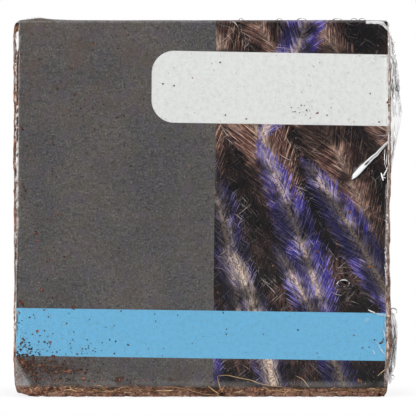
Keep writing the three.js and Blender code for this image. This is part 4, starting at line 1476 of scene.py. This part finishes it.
# %% The film's material
def film_finish(name, darkening):
    """Clear film, which mirrors little straight on and much at a slant. The mesh says where it is hazy and
    where glints and shade are painted
    """
    material, tree, shader = finish_of(name)
    tree.nodes.remove(shader)
    place = add(tree, "ShaderNodeTexCoord").outputs["Object"]
    crinkle = cloud(tree, place, 420.0, 4.0, 0.6)
    bump = add(tree, "ShaderNodeBump", {"Height": crinkle, "Strength": 0.25, "Distance": 0.05 * MM})
    bump = bump.outputs[0]
    slant = add(tree, "ShaderNodeLayerWeight", {"Blend": 0.5, "Normal": bump}).outputs["Facing"]
    mirror = plus(tree, times(tree, calc(tree, "POWER", slant, 5.0), 0.6), 0.04)
    dull, milk_and_painted_glint, shade, bunching = (drawn(tree, name) for name in ("dull", "milk_and_painted_glint", "shade", "bunching"))
    mirror = times(tree, mirror, minus(tree, 1.0, dull))
    # Where welds are bunched, fine lines of painted shade and painted highlight
    lines = cloud(tree, scaled(tree, place, (2700.0, 2700.0, 300.0)), 1.0, 2.0, 0.5, 0.6)
    shade = calc(tree, "MAXIMUM", shade, times(tree, fade(tree, lines, 0.53, 0.62), bunching))
    milk_and_painted_glint = calc(tree, "MAXIMUM", milk_and_painted_glint, times(tree, fade(tree, lines, 0.42, 0.34), bunching))
    dim = times(tree, calc(tree, "POWER", slant, 3.0), darkening)
    clarity = times(tree, minus(tree, 0.99, dim), minus(tree, 1.0, shade))
    clear = add(tree, "ShaderNodeBsdfTransparent", {"Color": join(tree, clarity, clarity, clarity)})
    gloss = add(tree, "ShaderNodeBsdfAnisotropic", {"Color": (1, 1, 1, 1), "Roughness": 0.08, "Normal": bump})
    warm = times(tree, dull, fade(tree, milk_and_painted_glint, 0.85, 0.45))
    milk_and_glint_white = lay(tree, (0.9, 0.9, 0.91, 1), (0.9, 0.79, 0.73, 1), warm)
    white = add(tree, "ShaderNodeBsdfDiffuse", {"Color": milk_and_glint_white, "Normal": bump})
    body = add(tree, "ShaderNodeMixShader", {0: milk_and_painted_glint, 1: clear.outputs[0], 2: white.outputs[0]})
    surface = add(tree, "ShaderNodeMixShader", {0: mirror, 1: body.outputs[0], 2: gloss.outputs[0]})
    plug(tree, surface.outputs[0], tree.nodes["Material Output"].inputs["Surface"])
    return material


# %% The film's skin
FILM_CELL = 1.5 * MM
FILM_EDGE = 0.85 * MM
FILM_THICKNESS = 0.04 * MM


def near_vent(point, reach):
    return point.y < film_front + 0.1 * MM and vent_ring(point.x, point.z) < reach


def on_fold(x, z):
    """True along the large folds on the right, where the film stands up from the label"""
    slanting = 38 < x and 56 < z < 70 and abs(z - 57.6 - 1.05 * (x - 39.8)) < 3.2
    return slanting or (x > 46.8 and 56.5 < z < 68)


def fineness(point):
    """How often the cells round a point of the film are halved"""
    x, z, behind = point.x / MM, point.z / MM, (point.y - film_front) / MM
    aside = half_width / MM - abs(x)
    above = min(film_top / MM - z, z)
    if behind > 1.2:
        return 1 if sorted((aside, above, (wrap_high[1] - point.y) / MM, behind))[1] < 2.3 else 0
    level = 1 if min(aside, above) < 4.5 else 0
    if (abs(x) > 48.8 or (x < -48.6 and z > 86)) and z > 20 and behind < (1.3 if x > 0 else 0.8):
        level = 4 if x < -48.9 and behind < 0.5 else 3
    if behind > 0.1:
        return level
    if (x > 44 and (8 < z < 26 or z > 88.5)) or (x < -45.5 and 2.5 < z < 13):
        level = max(level, 3)
    if on_fold(x, z) or near_vent(point, 2.6):
        level = 4
    return level


def cut_vent(bm):
    """Opens the vent hole and draws its rim onto an even oval"""
    inside = [face for face in bm.faces if near_vent(face.calc_center_median(), 1.0)]
    bmesh.ops.delete(bm, geom=inside, context="FACES")
    for vert in bm.verts:
        if vert.is_boundary:
            dx, dz = (vert.co.x - VENT["x"]) / VENT["half_x"], (vert.co.z - VENT["z"]) / VENT["half_z"]
            ring = math.hypot(dx, dz)
            vert.co.x = VENT["x"] + dx / ring * VENT["half_x"]
            vert.co.z = VENT["z"] + dz / ring * VENT["half_z"]


def make_film():
    bm = cell_box(wrap_low, wrap_high, FILM_CELL)
    for level in range(4):
        refine(bm, lambda point: fineness(point) > level)
    cut_vent(bm)
    mesh = mesh_from(bm, "film_wrap")
    set_points(mesh, worn(rounded(points_of(mesh), wrap_low, wrap_high, CORNERS, FILM_EDGE)))
    points, outward = points_of(mesh), normals_of(mesh)
    height = taut(mesh, outward, covered_tree((coir, label)))
    x, _, z = points.T
    rise, milk_and_painted_glint, shade = crease_fields(x, z, CREASES + GLINTS)
    front = outward[:, 1] < -0.25
    ring = vent_ring(x, z)
    height += film_waves(points, outward)
    height += np.where(front, rise + VENT_RIM * bell(ring, 1.2, 0.22), 0)
    raised = points + outward * height[:, None]
    raised[:, 2] = np.maximum(raised[:, 2], base_at(raised[:, 0]))
    set_points(mesh, raised)
    # A painted glint on the vent's upper rim, and painted specks of light round the rim
    above = np.clip((z - VENT["z"]) / VENT["half_z"] - 0.55, 0, 1)
    above *= np.clip(1.4 - np.abs(x - VENT["x"] - 0.2 * MM) / MM, 0, 1)
    glint_beads = np.clip(2.5 * lumps(points, 0.5 * MM, 2, seed=8.0), 0, 1)
    vent_glint = np.where(front, 0.95 * bell(ring, 1.2, 0.2) * above + 0.4 * glint_beads * bell(ring, 1.2, 0.15), 0)
    set_values(mesh, "milk_and_painted_glint", np.clip(veil_and_painted_sheen(points, outward) + np.where(front, milk_and_painted_glint, 0) + vent_glint, 0.002, 0.97))
    set_values(mesh, "dull", clinging(points))
    # Painted shade: a dark ring at the vent's edge and a fainter one outside it
    rim_shade = 0.85 * bell(ring, 1.0, 0.1) + 0.5 * bell(ring, 1.5, 0.08)
    set_values(mesh, "shade", np.clip(np.where(front, shade + rim_shade, 0), 0, 0.95))
    film = piece("film_wrap", mesh, film_finish("clear_film", 0.05))
    wall = film.modifiers.new("film", "SOLIDIFY")
    wall.thickness = FILM_THICKNESS
    wall.offset = -1
    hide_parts("shrink_film")


make_film()

# %% [markdown]
# Beside the block the two layers of film were welded and cut, and the heat bunched the free edge. Each weld
# is a strip, a flat grid whose section is bent into loops that run lengthwise, tight in some places and open
# in others. Where a loop turns back the film is seen edge on, which draws some of the grey lines that show it;
# the rest are painted shade, and a white line in the lower fin is a painted highlight.

# %% Welded edges
SEAM_Y = -4 * MM
UPPER_FIN = (
    # height, reach and how bunched, in mm
    (57.8, 0.3, 0.5), (61.8, 1.0, 0.6), (65.3, 1.6, 0.8), (67.8, 2.1, 0.7), (70.0, 2.5, 0.2),
    (73.0, 3.2, 0.05), (77.0, 3.5, 0.05), (79.2, 3.2, 0.2), (80.4, 2.9, 1.0), (84.0, 2.8, 1.1),
    (86.5, 2.6, 0.7), (89.5, 2.1, 0.8), (92.0, 1.7, 0.6), (94.5, 1.2, 0.8), (98.3, 0.2, 0.3),
)
LOWER_FIN = (
    (2.8, 0.2, 0.4), (3.9, 1.1, 0.5), (5.2, 0.8, 0.6), (6.6, 1.5, 0.9), (9.0, 2.0, 1.1), (12.5, 2.2, 1.0),
    (17.0, 2.4, 1.1), (19.0, 2.4, 0.8), (20.6, 1.8, 0.5), (22.0, 1.3, 0.4), (23.8, 0.3, 0.3),
)
TOP_SEAM = (
    (-48.5, 0.1, 0.2), (-47.4, 0.5, 0.3), (-45.4, 0.95, 0.3), (-43.4, 1.0, 0.5), (-40.6, 0.45, 0.3),
    (-30.0, 0.15, 0.2), (8.0, 0.15, 0.2), (20.0, 0.2, 0.4), (40.0, 0.3, 0.5), (48.0, 0.15, 0.3),
)
CURLS = (
    # x, height, half width and half height in mm, first and last angle in degrees, depth in mm
    (51.3, 22.35, 1.0, 0.8, 0, 350, 2.4), (52.5, 82.3, 0.6, 0.75, -80, 260, 1.6),
    (51.3, 94.4, 0.45, 0.35, 0, 300, 1.2), (52.9, 77.6, 0.3, 0.7, -80, 90, 2.0),
    (51.2, 4.6, 0.4, 0.6, -60, 130, 1.5), (50.6, 7.0, 0.5, 0.9, -90, 80, 2.0),
    (49.9, 99.2, 0.28, 0.4, 0, 340, 1.2), (-50.5, 9.7, 0.25, 0.4, 60, 300, 1.0),
    (10.4, 100.4, 0.6, 0.6, 10, 170, 2.5), (20.7, 100.4, 0.7, 0.6, 10, 170, 2.2),
    (26.7, 100.4, 1.2, 0.65, 15, 165, 2.6), (36.3, 100.4, 1.2, 0.65, 10, 170, 2.4),
    (40.7, 100.4, 0.9, 0.6, 10, 170, 2.0), (42.9, 100.4, 0.8, 0.65, 10, 170, 2.0),
)
FOLDS = 2.2  # how many times a weld's section turns from its root to its free edge
WELD_CELLS_PER_MM = 4
WELD_ROWS = 26
CURL_CELLS = (22, 4)
WELD_ROOT = 0.1 * MM  # how deep in the skin a weld starts
# Where the welds are bunched into grey lines of painted shade: how strongly, at which height and how far up and
# down
DENSE_WELDS = ((0.85, 83.0, 3.4), (0.5, 89.0, 3.0), (0.45, 94.5, 2.5), (0.8, 12.0, 7.5), (0.6, 67.0, 3.0))
# Height and x of the painted dark line in the lower fin
WELD_LINE = ((6.4, 50.5), (7.9, 50.8), (10.0, 51.2), (12.6, 51.4), (16.7, 51.7), (18.8, 51.9))


def bunched(bm, outline, swing, seed, stand, root=lambda run: 0.0):
    """Adds one welded strip. stand places a point from its run, its reach and its depth"""
    first, last = outline[0][0], outline[-1][0]
    before = set(bm.verts)
    columns = round((last - first) * WELD_CELLS_PER_MM)
    bmesh.ops.create_grid(bm, x_segments=columns, y_segments=WELD_ROWS, size=0.5)
    path = smooth_path(outline, 500)
    for vert in (v for v in bm.verts if v not in before):
        run = first + (vert.co.x + 0.5) * (last - first)
        up = vert.co.y + 0.5
        reach = max(0.05, np.interp(run, path[:, 0], path[:, 1]))
        bunch = np.interp(run, path[:, 0], path[:, 2]) * min(1.0, reach)
        drift = noise.fractal(Vector((run / 5, seed, 0)), 1.0, 2.0, 3)
        turn = math.tau * (FOLDS * up + 0.8 * drift + run / 17)
        held = math.sin(math.pi * min(1.0, up * 1.1 + 0.05)) ** 0.5
        small = noise.fractal(Vector((run / 0.9, up * 3, seed + 5)), 1.0, 2.0, 3)
        slow = noise.fractal(Vector((run / 3.5, up * 1.5, seed + 9)), 1.0, 2.0, 2)
        calm = min(1.0, reach) * (0.25 + 0.75 * min(1.0, bunch))
        out = reach * (up + 0.15 * bunch * held * math.sin(turn)) + 0.16 * small * up * calm
        deep = swing * held * bunch * math.cos(turn) + 0.5 * swing * slow * up * calm
        slip = 0.35 * small * up
        inward = (0.15 + root(run)) * (1 - up)
        vert.co = stand((run + slip) * MM, (out - inward) * MM, deep * MM)


def curled(bm, x, z, half_x, half_z, first, last, depth):
    """Adds a curl of film whose axis runs from front to back"""
    before = set(bm.verts)
    bmesh.ops.create_grid(bm, x_segments=CURL_CELLS[0], y_segments=CURL_CELLS[1], size=0.5)
    for vert in (v for v in bm.verts if v not in before):
        angle = math.radians(first + (vert.co.x + 0.5) * (last - first))
        flare = 1 + 0.25 * vert.co.y
        uneven = 1 + 0.12 * noise.noise(Vector((angle, vert.co.y * 2, x)))
        vert.co = (
            (x + half_x * flare * uneven * math.cos(angle)) * MM,
            SEAM_Y + vert.co.y * depth * MM,
            (z + half_z * flare * uneven * math.sin(angle)) * MM,
        )


def make_seams():
    bm = bmesh.new()
    side, top = half_width - WELD_ROOT, film_top - WELD_ROOT
    for outline, swing, seed in ((UPPER_FIN, 0.9, 1.0), (LOWER_FIN, 0.8, 12.0)):
        bunched(
            bm, outline, swing, seed, lambda run, reach, deep: (side + reach, SEAM_Y + deep, run),
            lambda run: wear_at(1, run * MM) / MM,
        )
    bunched(bm, TOP_SEAM, 0.5, 20.0, lambda run, reach, deep: (run, SEAM_Y + deep, top + reach))
    for curl in CURLS:
        curled(bm, *curl)
    bmesh.ops.recalc_face_normals(bm, faces=bm.faces)
    mesh = mesh_from(bm, "film_seams")
    points = points_of(mesh)
    x, _, z = points.T / MM
    streaks = lumps(points, (0.45 * MM, 3 * MM, 2.4 * MM), 3, seed=4.0)
    dense = sum(strength * bell(z, middle, reach) for strength, middle, reach in DENSE_WELDS)
    dense = dense * (x > 50.1) * (z < 99)
    low_fin = bell(z, 12.5, 6.0)
    # Painted shade in dark lines and a painted highlight in a white line, where the fin's film is seen edge on
    line = np.interp(z, *zip(*WELD_LINE)) + 0.1 * np.sin(1.7 * z)
    dark_line = 0.85 * bell(x, line, 0.17) * low_fin + 0.6 * bell(x, 50.4, 0.4) * bell(z, 6.4, 1.0)
    white_line = 0.5 * bell(x, 50.9, 0.2) * bell(z, 11.5, 3.5)
    milk_and_painted_glint = 0.03 + 0.1 * streaks + 0.08 * bell(z, 63, 3.5) + white_line
    set_values(mesh, "milk_and_painted_glint", np.clip(milk_and_painted_glint, 0.01, 0.5))
    shade = 0.02 + 0.25 * streaks + 0.08 * dense + 0.14 * low_fin + dark_line
    set_values(mesh, "shade", np.clip(shade, 0, 0.8))
    set_values(mesh, "bunching", np.clip(0.75 * dense, 0, 0.75))
    seams = piece("film_seams", mesh, film_finish("welded_film", 0.7))
    wall = seams.modifiers.new("weld", "SOLIDIFY")
    wall.thickness = FILM_THICKNESS * 2
    wall.offset = 0


make_seams()

# %% [markdown]
# The floor and the light are plain. The film faces the camera like a weak mirror, so the space behind the
# camera is kept dark, and the lamps stand to the sides and above, where only creases and edges can send their
# light to the lens. The camera sees a white ground, and the floor melts into it a little way from the block.

# %% Floor and light
FLOOR_RADIUS = 1.2
FLOOR_SEGMENTS = 64
FLOOR_PLAIN = 1 * MM  # the floor takes light and shadow this far from the block
FLOOR_WHITE = 14 * MM  # and is plain white from here on
LAMP_AIM = Vector((0, 0, 0.05))


def make_floor():
    bm = bmesh.new()
    bmesh.ops.create_circle(bm, cap_ends=True, segments=FLOOR_SEGMENTS, radius=FLOOR_RADIUS)
    mesh = mesh_from(bm, "floor")
    material, tree, shader = finish_of("pale_floor")
    shader.inputs["Base Color"].default_value = (0.94, 0.94, 0.94, 1)
    shader.inputs["Roughness"].default_value = 0.7
    shader.inputs["Specular IOR Level"].default_value = 0.1
    place = add(tree, "ShaderNodeTexCoord").outputs["Object"]
    size = add(tree, "ShaderNodeVectorMath", {0: place}, operation="ABSOLUTE").outputs[0]
    past = shifted(tree, size, (-half_width, film_front, 0))
    past = add(tree, "ShaderNodeVectorMath", {0: past, 1: (0, 0, 0)}, operation="MAXIMUM").outputs[0]
    away = add(tree, "ShaderNodeVectorMath", {0: past}, operation="LENGTH").outputs["Value"]
    path = add(tree, "ShaderNodeLightPath").outputs
    glow = add(tree, "ShaderNodeEmission", {
        "Color": (1, 1, 1, 1), "Strength": between(tree, path["Is Camera Ray"], 0.12, 1.0),
    })
    plain = between(tree, fade(tree, away, FLOOR_PLAIN, FLOOR_WHITE), 0.8, 1.0)
    plain = calc(tree, "MAXIMUM", plain, path["Is Glossy Ray"])
    ground = add(tree, "ShaderNodeMixShader", {0: plain, 1: shader.outputs[0], 2: glow.outputs[0]})
    plug(tree, ground.outputs[0], tree.nodes["Material Output"].inputs["Surface"])
    mesh.materials.append(material)
    floor = bpy.data.objects.new("floor", mesh)
    bpy.context.scene.collection.objects.link(floor)


def softbox(name, place, width, height, power, mirrored=True):
    lamp = bpy.data.lights.new(name, "AREA")
    lamp.shape = "RECTANGLE"
    lamp.size, lamp.size_y = width, height
    lamp.energy = power
    made = bpy.data.objects.new(name, lamp)
    bpy.context.scene.collection.objects.link(made)
    made.location = place
    made.visible_glossy = mirrored
    made.rotation_euler = (LAMP_AIM - Vector(place)).to_track_quat("-Z", "Y").to_euler()


def make_world():
    world = bpy.data.worlds.new("studio")
    bpy.context.scene.world = world
    world.use_nodes = True
    tree = world.node_tree
    ground = tree.nodes["Background"]
    path = add(tree, "ShaderNodeLightPath").outputs
    ahead = split(tree, add(tree, "ShaderNodeTexCoord").outputs["Generated"])[1]
    dim = lay(tree, (0.015, 0.015, 0.015, 1), (0.3, 0.3, 0.3, 1), fade(tree, ahead, -0.95, -0.1))
    dim = lay(tree, dim, (1, 1, 1, 1), fade(tree, ahead, 0.0, 0.6))
    around = between(tree, fade(tree, ahead, -0.6, 0.1), 0.05, 0.4)
    dim = lay(tree, dim, join(tree, around, around, around), path["Is Glossy Ray"])
    plug(tree, lay(tree, dim, (1, 1, 1, 1), path["Is Camera Ray"]), ground.inputs["Color"])


make_floor()
make_world()
softbox("key_left", (-0.75, -0.55, 0.3), 0.35, 0.6, 8.6)
softbox("fill_right", (0.78, -0.55, 0.3), 0.3, 0.6, 7.9)
softbox("top", (0.0, -0.25, 1.0), 1.0, 0.6, 2.9, mirrored=False)
bpy.context.scene.view_settings.view_transform = "Standard"
